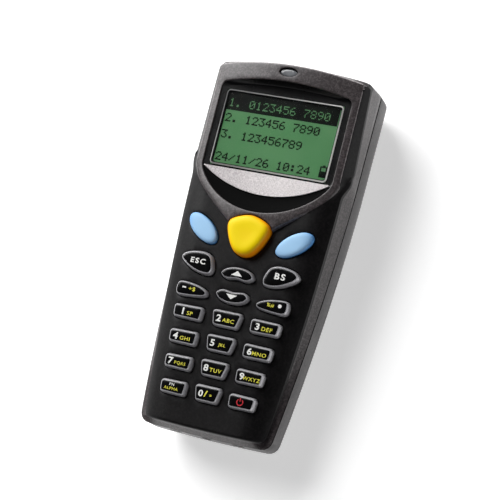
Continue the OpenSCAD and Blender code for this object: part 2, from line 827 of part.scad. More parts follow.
module scan_chassis() {
    color("#55585c") {
        difference() {
            translate([-engine_x, engine_foot, engine_z])
                cube([2 * engine_x, engine_head - engine_foot, engine_top - engine_z]);
            translate([engine_wall - engine_x, engine_foot + engine_wall, engine_z + engine_wall])
                cube([2 * (engine_x - engine_wall), far, far]);
        }
        translate([mirror_at[0], mirror_at[1], 0]) {
            rod(pivot_r, engine_z + engine_wall - sliver, engine_top - 1);
            rod(pivot_r + 0.8, engine_z + engine_wall - sliver, mirror_z - fine);
        }
    }
}

module scan_mirror() {
    color("#c9d4dc") translate([mirror_at[0], mirror_at[1], 0]) difference() {
        union() {
            rod(pivot_r + pivot_gap + hub_wall, mirror_z, mirror_z + mirror_h);
            rotate(mirror_turn) translate([-mirror_w / 2, pivot_r + pivot_gap + fine, mirror_z])
                cube([mirror_w, mirror_t, mirror_h]);
        }
        rod(pivot_r + pivot_gap, mirror_z - 1, mirror_z + mirror_h + 1);
    }
}

coil_r = 2;
coil_len = 4;
module mirror_coil() {
    color("#b5651d") translate([engine_wall - engine_x + coil_r, engine_foot + engine_wall, scan_z])
        rotate([-90, 0, 0]) difference() {
            cylinder(r = coil_r, h = coil_len, $fn = 40);
            translate([0, 0, -1]) cylinder(r = 0.8, h = coil_len + 2, $fn = 24);
        }
}

module laser_module() {
    color("#c4a24a") translate([engine_x - engine_wall - 6.6, mirror_at[1], scan_z]) rotate([0, 90, 0]) {
        cylinder(r = 2.3, h = 6.6, $fn = 48);
        translate([0, 0, -1]) cylinder(r = 1.6, h = 1.2, $fn = 48);
    }
}

module light_sensor() {
    color("#2d2d30") translate([1, engine_foot + engine_wall, engine_z + engine_wall]) {
        cube([8, 1.6, 8]);
        translate([4, 1.6, 4.6]) rotate([-90, 0, 0]) cylinder(r = 2.2, h = 1, $fn = 40);
    }
}

module scan_flex() {
    color("#c98a2b") translate([-4, engine_foot - 0.15, engine_z + 2])
        cube([8, 0.15, deck_height(engine_foot) - board_depth - board_t - engine_z - 3]);
}

/* ---- batteries ---- */
cell_cap_r = 1.9;
cell_cap_h = 0.8;
contact_t = 0.4;
contact_w = 8;
spring_len = 1.7;
cell_x = cell_r + cell_gap / 4;
cell_head = bay_head - contact_t - 0.1;

// One cell along Y with its cap to +Y, its cap tip at the origin
module cell() {
    rotate([90, 0, 0]) {
        cylinder(r = cell_cap_r, h = cell_cap_h + sliver, $fn = 48);
        translate([0, 0, cell_cap_h]) cylinder(r = cell_r, h = cell_len - cell_cap_h, $fn = 64);
    }
}

module battery_cells() {
    color("#b87333") {
        translate([cell_x, cell_head, cell_z]) cell();
        translate([-cell_x, bay_foot + contact_t + 0.1, cell_z]) rotate(180) cell();
    }
}

module battery_contacts() {
    color("#d8d8d0") for (s = [-1, 1]) {
        translate([s * cell_x - contact_w / 2, bay_head - contact_t, cell_z - contact_w / 2])
            cube([contact_w, contact_t, contact_w]);
        translate([s * cell_x - contact_w / 2, bay_foot, cell_z - contact_w / 2])
            cube([contact_w, contact_t, contact_w]);
    }
}

// Conical springs, swept along a spiral of eight-sided wire
spring_wire = 0.45;
spring_turns = 3;
spring_step = 24;
spring_small = 1.6;
spring_large = 3.4;
function spring_point(a) =
    let (t = a / (360 * spring_turns), r = spring_large + (spring_small - spring_large) * t)
    [r * cos(a), r * sin(a), spring_wire / 2 + (spring_len - spring_wire) * t];
function spring_ring(a) = let (c = spring_point(a)) [for (j = [0 : 7])
    let (w = spring_wire / 2 * cos(45 * j), h = spring_wire / 2 * sin(45 * j))
    [c[0] + w * cos(a), c[1] + w * sin(a), c[2] + h]];
module spring() {
    steps = 360 * spring_turns / spring_step;
    points = [for (i = [0 : steps]) each spring_ring(i * spring_step)];
    faces = concat([[for (j = [0 : 7]) j]], [[for (j = [7 : -1 : 0]) 8 * steps + j]],
        [for (i = [0 : steps - 1]) for (j = [0 : 7]) let (k = (j + 1) % 8)
            [8 * i + j, 8 * i + 8 + j, 8 * i + 8 + k, 8 * i + k]]);
    polyhedron(points, faces);
}

module battery_springs() {
    color("silver") {
        translate([-cell_x, bay_head - contact_t, cell_z]) rotate([90, 0, 0]) spring();
        translate([cell_x, bay_foot + contact_t, cell_z]) rotate([-90, 0, 0]) spring();
    }
}

/* ---- bottom end ---- */
charge_x = 11;
charge_z = 14;
charge_w = 4;
charge_h = 2.2;
ir_z = 14;
ir_r = 1.6;
module charge_pads(grow, depth) {
    for (s = [-1, 1])
        translate([s * charge_x - charge_w / 2 - grow, -far / 2, charge_z - charge_h / 2 - grow])
            cube([charge_w + 2 * grow, far / 2 - half_len + depth + 1, charge_h + 2 * grow]);
}

module charge_contacts() {
    color("gold") for (s = [-1, 1])
        translate([s * charge_x - charge_w / 2, -half_len + 0.6, charge_z - charge_h / 2])
            cube([charge_w, 2.2, charge_h]);
}

ir_len = 2.4;
ir_sunk = 0.4;
module ir_rod(r, y0, y1) {
    translate([0, y0 - half_len, ir_z]) rotate([-90, 0, 0]) cylinder(r = r, h = y1 - y0, $fn = 48);
}
module ir_window() { color("#3b0d12") ir_rod(ir_r, ir_sunk, ir_sunk + ir_len); }

front_cover();
rear_cover();
battery_cover();
housing_seal();
display_bezel();
display_window();
name_plate();
lcd_glass();
lcd_frame();
backlight_panel();
lcd_flex();
status_lens();
status_led();
keypad_mat();
key_scan();
key_left();
key_right();
key_esc();
key_bs();
key_up();
key_down();
key_minus();
key_dot();
number_key("1");  // key_1
number_key("2");  // key_2
number_key("3");  // key_3
number_key("4");  // key_4
number_key("5");  // key_5
number_key("6");  // key_6
number_key("7");  // key_7
number_key("8");  // key_8
number_key("9");  // key_9
number_key("fn");  // key_fn
number_key("0");  // key_0
number_key("power");  // key_power
main_board();
board_chips();
board_screws();
buzzer();
backup_cell();
backup_cell_clip();
scan_window();
scan_chassis();
scan_mirror();
mirror_coil();
laser_module();
light_sensor();
scan_flex();
battery_cells();
battery_contacts();
battery_springs();
charge_contacts();
ir_window();
case_screws();
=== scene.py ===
import json
import math
import bmesh
import bpy
import numpy as np
from mathutils import Matrix, Vector
from mathutils.geometry import delaunay_2d_cdt

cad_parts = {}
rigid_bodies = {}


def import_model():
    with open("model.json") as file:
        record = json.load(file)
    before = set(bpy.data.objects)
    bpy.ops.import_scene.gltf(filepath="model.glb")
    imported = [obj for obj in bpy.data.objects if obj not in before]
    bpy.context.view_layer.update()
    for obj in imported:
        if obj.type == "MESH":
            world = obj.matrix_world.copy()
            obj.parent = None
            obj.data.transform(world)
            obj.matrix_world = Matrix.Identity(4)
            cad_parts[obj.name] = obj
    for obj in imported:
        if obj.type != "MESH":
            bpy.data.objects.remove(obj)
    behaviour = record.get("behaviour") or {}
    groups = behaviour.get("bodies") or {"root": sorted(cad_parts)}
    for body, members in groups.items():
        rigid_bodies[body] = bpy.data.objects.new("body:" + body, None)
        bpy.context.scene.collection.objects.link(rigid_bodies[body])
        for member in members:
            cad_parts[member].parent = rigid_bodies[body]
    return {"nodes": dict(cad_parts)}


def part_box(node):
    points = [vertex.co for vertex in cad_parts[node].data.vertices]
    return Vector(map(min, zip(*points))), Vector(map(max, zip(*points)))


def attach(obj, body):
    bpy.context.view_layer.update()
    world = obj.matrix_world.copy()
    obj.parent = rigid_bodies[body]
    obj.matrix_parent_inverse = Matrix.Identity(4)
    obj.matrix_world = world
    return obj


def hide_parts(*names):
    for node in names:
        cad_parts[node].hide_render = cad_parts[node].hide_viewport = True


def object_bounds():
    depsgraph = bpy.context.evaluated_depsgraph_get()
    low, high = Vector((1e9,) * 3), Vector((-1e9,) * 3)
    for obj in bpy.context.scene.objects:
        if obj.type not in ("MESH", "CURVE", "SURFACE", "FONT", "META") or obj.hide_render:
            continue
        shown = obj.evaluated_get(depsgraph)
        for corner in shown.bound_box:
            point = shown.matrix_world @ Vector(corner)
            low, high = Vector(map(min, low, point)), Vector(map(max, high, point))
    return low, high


for left_over in list(bpy.data.objects):
    bpy.data.objects.remove(left_over)
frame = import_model()
cad_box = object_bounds()


# ---- Front cover ----
# One injection moulding in near-black ABS: the key deck, domed to its sides, and the head that
# stands proud of it down to a V. Its outside was spark eroded in the tool, so it has a fine
# even grain. It is drawn in the frame of the deck, in millimetres, and turned into place.
mm = 0.001
half_len = cad_box[1][1] / mm
case_h, half_w, foot_w, wide_y = 32.0, 28.0, 45.0, 22.0
part_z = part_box("front_cover")[0].z / mm
parting_step, parting_bevel, shell_t = 0.45, 0.2, 1.6
deck_tilt, head_rise, crown_back = math.radians(4.0), 2.0, 0.6
deck_z = case_h - head_rise * math.cos(deck_tilt) - (half_len - crown_back) * math.sin(deck_tilt)
# The sides taper a little along the head, and bow in from the widest place to the foot
head_taper, side_start = 0.006, 0.021
side_span = wide_y + half_len
side_bow = (half_w - foot_w / 2 - side_start * side_span) / side_span**2
top_arc_r, parting_arc_r, foot_arc_r = 158.0, 500.0, 500.0


def side_x(y):
    """Half the width of the case at y."""
    below = np.maximum(wide_y - y, 0)
    above = np.maximum(y - wide_y, 0)
    return half_w - above * head_taper - below * side_start - below**2 * side_bow


def to_case(points):
    """Points of the deck's frame, as points of the case, still in millimetres."""
    p = np.asarray(points, float)
    c, s = math.cos(deck_tilt), math.sin(deck_tilt)
    return np.stack([p[:, 0], p[:, 1] * c - p[:, 2] * s, deck_z + p[:, 1] * s + p[:, 2] * c], 1)


def corner_arc(b, u, v, r):
    """Arc of radius r in the corner b, between the directions u and v that leave it."""
    half = math.acos(float(np.dot(u, v))) / 2
    centre = b + (u + v) / np.linalg.norm(u + v) * r / math.sin(half)
    start = math.atan2(u[1], u[0]) + math.pi / 2
    angles = start + (math.pi - 2 * half) * np.linspace(0, 1, corner_steps + 1)
    return centre + r * np.stack([np.cos(angles), np.sin(angles)], 1)


def unit(v):
    """The direction of v, with length 1."""
    return np.asarray(v, float) / np.linalg.norm(v)


# Points of an outline along a side, along an end and round a corner
side_steps, end_steps, corner_steps = 110, 44, 8


def plan(side, top, foot, corner, arc):
    """Outline of the case seen from the front, drawn in from its sides and ends, counterclockwise.
    side may be a function of y; arc is the radius of the head end. Its corners are the tighter ones."""
    inset = side if callable(side) else (lambda y: side + 0 * y)
    head = np.array([side_x(half_len) - inset(half_len), 0.0])
    head[1] = half_len - top - head[0] ** 2 / (2 * arc)
    heel = np.array([side_x(-half_len) - inset(-half_len), 0.0])
    heel[1] = foot - half_len + heel[0] ** 2 / (2 * foot_arc_r)
    heel_side = unit([side_start + 2 * side_bow * side_span, 1])
    heel_arc = corner_arc(heel, unit([-1, -heel[0] / foot_arc_r]), heel_side, corner)
    head_arc = corner_arc(head, unit([head_taper, -1]), unit([-1, head[0] / arc]), corner / 2)
    y = np.linspace(heel_arc[-1][1], head_arc[0][1], side_steps + 1)[1:-1]
    right = np.stack([side_x(y) - inset(y), y], 1)
    x = np.linspace(head_arc[-1][0], -head_arc[-1][0], end_steps + 1)[1:-1]
    across = np.stack([x, half_len - top - x**2 / (2 * arc)], 1)
    x = np.linspace(-heel_arc[0][0], heel_arc[0][0], end_steps + 1)[1:-1]
    along = np.stack([x, foot - half_len + x**2 / (2 * foot_arc_r)], 1)
    left = [p[::-1] * [-1, 1] for p in (head_arc, right, heel_arc)]
    return np.concatenate([heel_arc, right, head_arc, across, *left, along])


def soft_min(a, b, r):
    """The smaller of two heights, with the edge between them rounded over r."""
    h = np.maximum(r - np.abs(a - b), 0) / r
    return np.minimum(a, b) - h * h * r / 4


v_tip, v_slope, v_curve, v_round = 1.2, 0.62, 0.0085, 1.2
cheek_x, cheek_y, cheek_run, cheek_rise = 23.5, 20.5, 2.1, 4.4


def v_inside(x, y):
    """Distance in from the foot of the V step: positive on the head."""
    ax = np.abs(x)
    slope = v_slope + 2 * v_curve * ax
    arm = (y - v_tip - v_slope * ax - v_curve * ax**2) / np.sqrt(1 + slope**2)
    beside = ((y - cheek_y) * cheek_run - (ax - cheek_x) * cheek_rise) / math.hypot(cheek_run, cheek_rise)
    return soft_min(arm, beside, v_round)


roll_r, roll_start, roll_share = 14.0, 10.5, 0.97
dome_r, ridge_x, ridge_drop, ridge_slope, ridge_round = 95.0, 25.0, 1.3, math.tan(math.radians(57)), 0.35
step_w, step_start, step_power, step_end_y = 0.95, 0.1, 2.4, 26.0
top_edge_r, foot_chamfer, chamfer_slope = 0.8, 0.45, 0.9
deck_head, deck_foot = 0.05, 1.25


def front_height(x, y):
    """Height of the front over the plane of the deck."""
    ax = np.abs(x)
    s = np.clip(roll_start - (side_x(y) - ax), 0, roll_r * roll_share)
    deck = np.sqrt(roll_r**2 - s**2) - roll_r
    dome = head_rise - dome_r + np.sqrt(dome_r**2 - ax**2)
    head = soft_min(dome, -ridge_drop - (ax - ridge_x) * ridge_slope, ridge_round)
    u = np.clip((v_inside(x, y) + step_start) / step_w, 0, 1)
    z = deck + np.maximum(head - deck, 0) * (1 - (1 - u) ** step_power)
    beyond = np.where(v_inside(x, y) > 0, head, deck)
    z = np.where(y > step_end_y, beyond, z)
    from_top = np.clip(half_len - deck_head - ax**2 / (2 * top_arc_r) - y, 0, top_edge_r)
    z = z - (top_edge_r - np.sqrt(top_edge_r**2 - (top_edge_r - from_top) ** 2))
    from_foot = y - (deck_foot - half_len + ax**2 / (2 * foot_arc_r))
    return z - np.clip(foot_chamfer - from_foot, 0, foot_chamfer) * chamfer_slope


def rounded(points, r, steps=5):
    """The outline with its corners rounded, counterclockwise. A corner takes less than half of the
    edges beside it, and one that is too slight to show stays as it is."""
    most_of_edge, least = 0.46, 0.02
    p = np.asarray(points, float)
    out = []
    for a, b, c in zip(np.roll(p, 1, 0), p, np.roll(p, -1, 0)):
        u, v = unit(a - b), unit(c - b)
        half = math.acos(float(np.clip(np.dot(u, v), -1, 1))) / 2
        t = min(r / math.tan(half), most_of_edge * min(np.linalg.norm(a - b), np.linalg.norm(c - b)))
        if t < least:
            out.append(b)
            continue
        centre = b + unit(u + v) * t / math.cos(half)
        first, last = b + u * t - centre, b + v * t - centre
        turn = math.atan2(first[0] * last[1] - first[1] * last[0], float(np.dot(first, last)))
        angles = math.atan2(first[1], first[0]) + turn * np.linspace(0, 1, steps + 1)
        out.extend(centre + np.linalg.norm(first) * np.stack([np.cos(angles), np.sin(angles)], 1))
    return np.array(out)


def resampled(p, count):
    """The closed outline with count points, evenly spaced."""
    closed = np.vstack([p, p[:1]])
    length = np.concatenate([[0], np.cumsum(np.linalg.norm(np.diff(closed, axis=0), axis=1))])
    at = np.linspace(0, length[-1], count, endpoint=False)
    return np.stack([np.interp(at, length, closed[:, 0]), np.interp(at, length, closed[:, 1])], 1)


def grown(p, distance):
    """The counterclockwise outline moved outwards."""
    if distance == 0:
        return p.copy()
    before = p - np.roll(p, 1, 0)
    after = np.roll(p, -1, 0) - p
    normal = lambda e: np.stack([e[:, 1], -e[:, 0]], 1) / np.linalg.norm(e, axis=1, keepdims=True)
    n = normal(before) + normal(after)
    n = n / np.maximum(np.sum(n * n, 1, keepdims=True) / 2, 0.4)
    return p + n * distance


def bow(side, edge_y, apex_y, steps):
    """Arc from the right side to the left one, with its middle at apex_y."""
    x = side * (1 - 2 * np.arange(steps + 1) / steps)
    r = (side**2 + (apex_y - edge_y) ** 2) / (2 * abs(apex_y - edge_y))
    turn = 1 if apex_y > edge_y else -1
    return np.stack([x, apex_y - turn * (r - np.sqrt(r**2 - x**2))], 1)


def within(p, x, y):
    """Which of the points lie inside the outline."""
    inside = np.zeros(len(x), bool)
    for (ax, ay), (bx, by) in zip(p, np.roll(p, -1, 0)):
        crosses = (ay > y) != (by > y)
        inside ^= crosses & (x < (bx - ax) * (y - ay) / (by - ay + 1e-12) + ax)
    return inside


def curved(points, steps=8):
    """A smooth closed outline through the points."""
    p = np.asarray(points, float)
    a, b, c, d = (np.roll(p, k, 0)[:, None] for k in (1, 0, -1, -2))
    t = np.linspace(0, 1, steps, endpoint=False)[None, :, None]
    line = b + (c - a) * t / 2 + (a - 2.5 * b + 2 * c - d / 2) * t**2
    line = line + (1.5 * (b - c) + (d - a) / 2) * t**3
    return line.reshape(-1, 2)


def mirrored(points):
    """The points in a mirror, in reverse, so that they still run the same way round."""
    return [(-x, y) for x, y in points[::-1]]


# The keys' outlines at the deck. The middle column is wider at the top, the outer ones lean out.
key_round, key_gap, key_edge = 1.2, 0.3, 0.16
key_pitch, key_row_y, key_col_x, row_shrink, col_lean, middle_lift = 8.1, 24.3, 13.4, 0.035, 0.5, 0.2
number_names = ["1", "2", "3", "4", "5", "6", "7", "8", "9", "fn", "0", "power"]
key_at, key_line = {}, {}
for i, name in enumerate(number_names):
    row, column = divmod(i, 3)
    column -= 1
    k = 1 - row_shrink * row
    lift = middle_lift if column == 0 else 0
    key_at[name] = (column * (key_col_x - col_lean * row), -key_row_y - key_pitch * row + lift)
    if column == 0:
        w, h = 5.5 * k, 2.75
        line = [(w - 1.2, -h), (w, h), (-w, h), (1.2 - w, -h)]
    else:
        w, h = 5.3 * k, 2.45
        line = [(w - 0.4, 0.2 - h), (w, h - 0.2), (-w, h), (0.3 - w, -h)]
        line = line if column > 0 else mirrored(line)
    key_line[name] = rounded(line, key_round)
shield = [(0, -7.05), (2.0, -6.65), (3.9, -5.2), (5.8, -2.2), (7.1, 1.2), (7.15, 3.1), (6.3, 4.4),
    (3.6, 5.75), (0, 6.5)]
key_at["scan"], key_line["scan"] = (0, 3.6), curved(shield + mirrored(shield)[1:-1])
escape = [(6.3, 0.7), (4.9, 2.5), (1.6, 3.45), (-1.7, 3.5), (-4, 2.5), (-5.2, 0.4), (-5.6, -1.9),
    (-4.7, -3.6), (-2, -3.8), (1.3, -3), (4.7, -1.2)]
arrow = [(0, -1.6), (1.8, -1.85), (3.6, -2), (5.1, -1.3), (5.75, -0.2), (4.4, 1.4), (2, 2.2), (0, 2.35)]
arrow += mirrored(arrow)[1:-1]
sign = [(5.5, 0.6), (5.1, 2), (3.8, 2.5), (1.4, 2.4), (-1.6, 1.95), (-4.1, 1.1), (-5.4, 0.1), (-5.4, -1),
    (-4.2, -1.7), (-1.8, -2.05), (1.2, -2.3), (3.8, -2.4), (5, -1.9), (5.5, -0.7)]
key_at["bs"], key_line["bs"] = (14.2, -7.7), curved(escape)
key_at["esc"], key_line["esc"] = (-14.2, -7.7), curved(mirrored(escape))
key_at["up"], key_line["up"] = (0, -9.4), curved(arrow)
key_at["down"], key_line["down"] = (0, -16.7), curved([(x, -y) for x, y in arrow[::-1]])
key_at["dot"], key_line["dot"] = (14, -17.1), curved(sign)
key_at["minus"], key_line["minus"] = (-14, -17.1), curved(mirrored(sign))
full_turn = np.linspace(0, 2 * math.pi, 64, endpoint=False)
oval_half, oval_at, oval_lean = (6.6, 3.2), (15.9, 3.4), math.radians(36)
oval = np.stack([oval_half[0] * np.cos(full_turn), oval_half[1] * np.sin(full_turn)], 1)
for name, hand in (("left", -1), ("right", 1)):
    c, s = math.cos(oval_lean * hand), math.sin(oval_lean * hand)
    key_at[name], key_line[name] = (oval_at[0] * hand, oval_at[1]), oval @ np.array([[c, s], [-s, c]])

led_y = half_len - 2.7
led_half, led_gap, led_edge = (3.1, 1.5), 0.1, 0.1
led_line = np.stack([led_half[0] * np.cos(full_turn), led_half[1] * np.sin(full_turn)], 1) + [0, led_y]
recess_x, recess_top, recess_foot, recess_arch, crescent_low, mouth_edge = 22.7, 52.9, 24.0, 2.3, 11.3, 0.35
# Points of a display outline along its lower arc, along its upper arc and up a side
low_points, top_points, side_points = 108, 90, 52


def display_line(low, top, soften=3):
    """Outline of the display: an arc below, straight sides and an arc above, with soft corners.
    Each arc is given by its half width, the height of its ends and of its middle."""
    right = low[0] + (top[0] - low[0]) * np.linspace(0, 1, side_points)[1:-1]
    up = low[1] + (top[1] - low[1]) * np.linspace(0, 1, side_points)[1:-1]
    side = np.stack([right, up], 1)
    left = side[::-1] * [-1, 1]
    line = np.vstack([bow(*low, low_points)[::-1], side, bow(*top, top_points), left])
    return sum(np.roll(line, k, 0) for k in range(-soften, soften + 1)) / (2 * soften + 1)


mouth_line = display_line((recess_x, recess_foot, crescent_low),
    (recess_x, recess_top, recess_top + recess_arch))

# Each opening: its outline, and the radius of its edge
openings = [(mouth_line, mouth_edge), (resampled(grown(led_line, led_gap), 48), led_edge)]
for name, line in key_line.items():
    around = resampled(line, 96 if name == "scan" else 64)
    openings.append((grown(around, key_gap) + key_at[name], key_edge))


def blend_y(y, low, high):
    """0 below low and 1 above high, with a smooth change between them."""
    t = np.clip((y - low) / (high - low), 0, 1)
    return t * t * (3 - 2 * t)


shoulder_in, shoulder_more = 0.22, 0.9
rim_from, rim_to = 21.0, 27.0


def shoulder(y):
    """How far the head's shoulder stays in from the side: least where the head begins."""
    return shoulder_in + shoulder_more * np.clip((y - wide_y) / (half_len - wide_y), 0, 1)


def rim(handle, head):
    """Inset of the sides along the handle, and past the cheek beside the head."""
    return lambda y: handle + (shoulder(y) + head - handle) * blend_y(np.asarray(y, float), rim_from, rim_to)


def deck_ring(side, top, foot, corner, lower=0.0, arc=top_arc_r):
    """A ring of the front's rounded edge, on the front's own surface or lower."""
    p = plan(side, top, foot, corner, arc)
    return to_case(np.column_stack([p, front_height(p[:, 0], p[:, 1]) - lower]))


def at_height(p, z):
    """The outline as points in space, at one height or at one for each point."""
    return np.column_stack([p, np.full(len(p), z)])


def case_ring(inset, z):
    """A level ring of the outer wall."""
    corner = 3.5
    return at_height(plan(inset, inset, inset, corner, parting_arc_r), z)


def between(a, b, steps):
    """Evenly spaced rings from a to b, without either."""
    return [a + (b - a) * k / steps for k in range(1, steps)]


rim_foot = 1.9
flat_edge = plan(rim(rim_foot + 1.2, 1.2), deck_head + 0.8, deck_foot + 1.6, 1.3, top_arc_r)
# The rounded edge from the flat part outwards: inset of the sides, of the head end and of the foot
edge_rows = [(0.8, 0.62, 1.12), (0.45, 0.42, 0.96), (0.2, 0.24, 0.55), (0.08, 0.11, 0.2), (0.0, 0.03, 0.03)]
rings = [deck_ring(rim(rim_foot + d, d), deck_head + t, deck_foot + f, 1.8 + (0.4 - d) * 0.4)
    for d, t, f in edge_rows]
# Past its lowest row the edge turns down into the outer wall, which runs to the parting line
rings.append(deck_ring(rim(rim_foot - 0.06, -0.05), deck_head, deck_foot - 0.06, 2.1, 0.3))
rings.append(deck_ring(rim(rim_foot - 0.22, -0.1), deck_head, deck_foot - 0.16, 2.6, 1.1, 340))
first_wall = len(rings)
rings += between(rings[-1], case_ring(0, part_z + parting_step), 4)
rings += [case_ring(0, part_z + parting_step), case_ring(parting_bevel, part_z)]
last_wall = len(rings) - 1
rings.append(case_ring(shell_t + parting_bevel, part_z))
inner_top = deck_ring(rim(rim_foot + 0.9, 0.9), deck_head + 1.3, deck_foot + 1.3, 2.2, shell_t + 0.4)
rings += between(rings[-1], inner_top, 3) + [inner_top]

# The other mesh points of the flat part keep clear of these outlines
clear_of = [flat_edge] + [line for line, _ in openings]


def clearance(p):
    """Distance from each point to the nearest outline."""
    far, batch = 99.0, 400
    out = np.full(len(p), far)
    for line in clear_of:
        d = np.roll(line, -1, 0) - line
        for k in range(0, len(p), batch):
            q = p[k:k + batch, None] - line[None]
            t = np.clip(np.sum(q * d, 2) / np.sum(d * d, 1), 0, 1)
            here = np.linalg.norm(q - t[..., None] * d, axis=2).min(1)
            out[k:k + batch] = np.minimum(out[k:k + batch], here)
    return out


keep_clear, grid_clear, longest_edge = 0.42, 0.55, 3
grid_x, grid_y, grid_half_x, grid_half_y = 1.5, 1.3, 27, 61


def usable(p):
    """Which of the points lie on the flat part, clear of its edge and of the openings."""
    ok = within(flat_edge, p[:, 0], p[:, 1])
    for line, _ in openings:
        ok &= ~within(line, p[:, 0], p[:, 1])
    return ok & (clearance(p) > keep_clear)


def level_line(value):
    """Points where the distance from the V step has that value, from left to right."""
    reach, lowest, highest, halvings = 26.4, -2.0, 40.0, 40
    x = np.linspace(-reach, reach, 133)
    lo, hi = np.full(len(x), lowest), np.full(len(x), highest)
    for _ in range(halvings):
        mid = (lo + hi) / 2
        above = v_inside(x, mid) > value
        lo, hi = np.where(above, lo, mid), np.where(above, mid, hi)
    return np.stack([x, (lo + hi) / 2], 1)


# Lines that the flat part's mesh follows: the V step, the head's ridges and the roll of the deck
ridge_in, ridge_out = -0.11, 0.12
guides = [level_line(v) for v in (-0.1, 0.02, 0.16, 0.34, 0.56, 0.85)]
up = np.linspace(25, 59, 50)
for d in (-0.35, ridge_in, ridge_out, 0.4):
    guides += [np.stack([hand * (ridge_x + d) + 0 * up, up], 1) for hand in (-1, 1)]
along = np.linspace(-57, 19, 64)
for d in (roll_start, 9.3, 8.1, 6.9, 5.7, 4.5):
    guides += [np.stack([hand * (side_x(along) - d), along], 1) for hand in (-1, 1)]

points, edges = [tuple(p) for p in flat_edge], []
loops = [np.arange(len(flat_edge))]
for line, r in openings:
    start = len(points)
    points += [tuple(p) for p in grown(line, r)]
    loops.append(np.arange(start, len(points)))
for loop in loops:
    edges += list(zip(loop.tolist(), np.roll(loop, -1).tolist()))
for guide in guides:
    ok = usable(guide)
    last = None
    for p, fine in zip(guide, ok):
        if fine:
            points.append(tuple(p))
            if last is not None and np.linalg.norm(np.subtract(points[last], p)) < longest_edge:
                edges.append((last, len(points) - 1))
        last = len(points) - 1 if fine else None
taken = np.array(points)
gx, gy = np.meshgrid(np.arange(-grid_half_x, grid_half_x + 0.1, grid_x),
    np.arange(-grid_half_y, grid_half_y + 0.1, grid_y))
odd_row = np.arange(gx.shape[0])[:, None] % 2
grid = np.stack([(gx + grid_x / 2 * odd_row).ravel(), gy.ravel()], 1)
grid = grid[usable(grid)]
near = np.array([np.min(np.hypot(*(taken - p).T)) for p in grid])
points += [tuple(p) for p in grid[near > grid_clear]]
found = delaunay_2d_cdt([Vector(p) for p in points], edges, [], 0, 1e-5)
flat = np.array([tuple(v) for v in found[0]])
new_index = {}
for index, olds in enumerate(found[3]):
    for old in olds:
        new_index[old] = index
triangles = np.array(found[2])
# The loops part the triangles into regions. A region is kept where its largest triangle is solid
walls = {frozenset((new_index[a], new_index[b])) for loop in loops
    for a, b in zip(loop.tolist(), np.roll(loop, -1).tolist())}
beside = {}
for k, t in enumerate(triangles.tolist()):
    for a, b in ((t[0], t[1]), (t[1], t[2]), (t[2], t[0])):
        beside.setdefault(frozenset((a, b)), []).append(k)
near_by = [[] for _ in triangles]
for edge, pair in beside.items():
    if edge not in walls and len(pair) == 2:
        near_by[pair[0]].append(pair[1])
        near_by[pair[1]].append(pair[0])
corner = flat[triangles]
span = np.abs(np.cross(corner[:, 1] - corner[:, 0], corner[:, 2] - corner[:, 0]))
middle = corner.mean(1)
solid = within(flat_edge, middle[:, 0], middle[:, 1])
for line, r in openings:
    solid &= ~within(grown(line, r), middle[:, 0], middle[:, 1])
keep = np.zeros(len(triangles), bool)
left = set(range(len(triangles)))
while left:
    region, reached = [], [left.pop()]
    while reached:
        k = reached.pop()
        region.append(k)
        for other in near_by[k]:
            if other in left:
                left.remove(other)
                reached.append(other)
    keep[region] = solid[region[int(np.argmax(span[region]))]]
triangles = triangles[keep]
e1, e2 = flat[triangles[:, 1]] - flat[triangles[:, 0]], flat[triangles[:, 2]] - flat[triangles[:, 0]]
wrong = e1[:, 0] * e2[:, 1] - e1[:, 1] * e2[:, 0] < 0
triangles[wrong] = triangles[wrong][:, ::-1]


def linked(name, data):
    """A new object in the scene."""
    made = bpy.data.objects.new(name, data)
    bpy.context.scene.collection.objects.link(made)
    return made


def mesh_object(name, vertices, faces, scale=mm):
    """A new object at the origin, from points in millimetres."""
    mesh = bpy.data.meshes.new(name)
    mesh.from_pydata((np.asarray(vertices, float) * scale).tolist(), [], [list(map(int, f)) for f in faces])
    mesh.validate()
    mesh.update()
    return linked(name, mesh)


def smooth(made, degrees):
    """Shades smooth, and leaves edges sharper than the angle crisp."""
    made.data.shade_smooth()
    made.data.set_sharp_from_angle(angle=math.radians(degrees))


def strip(a, b):
    """Quads between two rows of vertices that close into rings."""
    a, b = np.asarray(a), np.asarray(b)
    return np.stack([a, np.roll(a, -1), np.roll(b, -1), b], 1).tolist()


height = front_height(flat[:, 0], flat[:, 1])
top = to_case(np.column_stack([flat, height]))
under = to_case(np.column_stack([flat, height - shell_t]))
n = len(flat)
vertices = [top, under]
faces = triangles.tolist() + (triangles[:, ::-1] + n).tolist()
count = 2 * n
outer_loop = np.array([new_index[i] for i in loops[0]])
row = outer_loop
for ring in rings:
    here = np.arange(count, count + len(ring))
    vertices.append(ring)
    faces += strip(here, row)
    row, count = here, count + len(ring)
faces += strip(outer_loop + n, row)
# Each opening has a rounded edge and a straight wall
for loop, (line, r) in zip(loops[1:], openings):
    first = np.array([new_index[i] for i in loop])
    row = first
    for out, down in ((0.55 * r, 0.11 * r), (0.2 * r, 0.4 * r), (0.0, r), (0.0, shell_t)):
        p = grown(line, out)
        z = front_height(p[:, 0], p[:, 1]) - down
        here = np.arange(count, count + len(p))
        vertices.append(to_case(np.column_stack([p, z])))
        faces += strip(row, here)
        row, count = here, count + len(p)
    faces += strip(row, first + n)
front_cover = mesh_object("front_shell", np.concatenate(vertices), faces)
smooth(front_cover, 40)


def srgb(code):
    """A colour in linear light from its sRGB hex value."""
    parts = [int(code[i:i + 2], 16) / 255 for i in (1, 3, 5)]
    return [c / 12.92 if c <= 0.04045 else ((c + 0.055) / 1.055) ** 2.4 for c in parts] + [1.0]


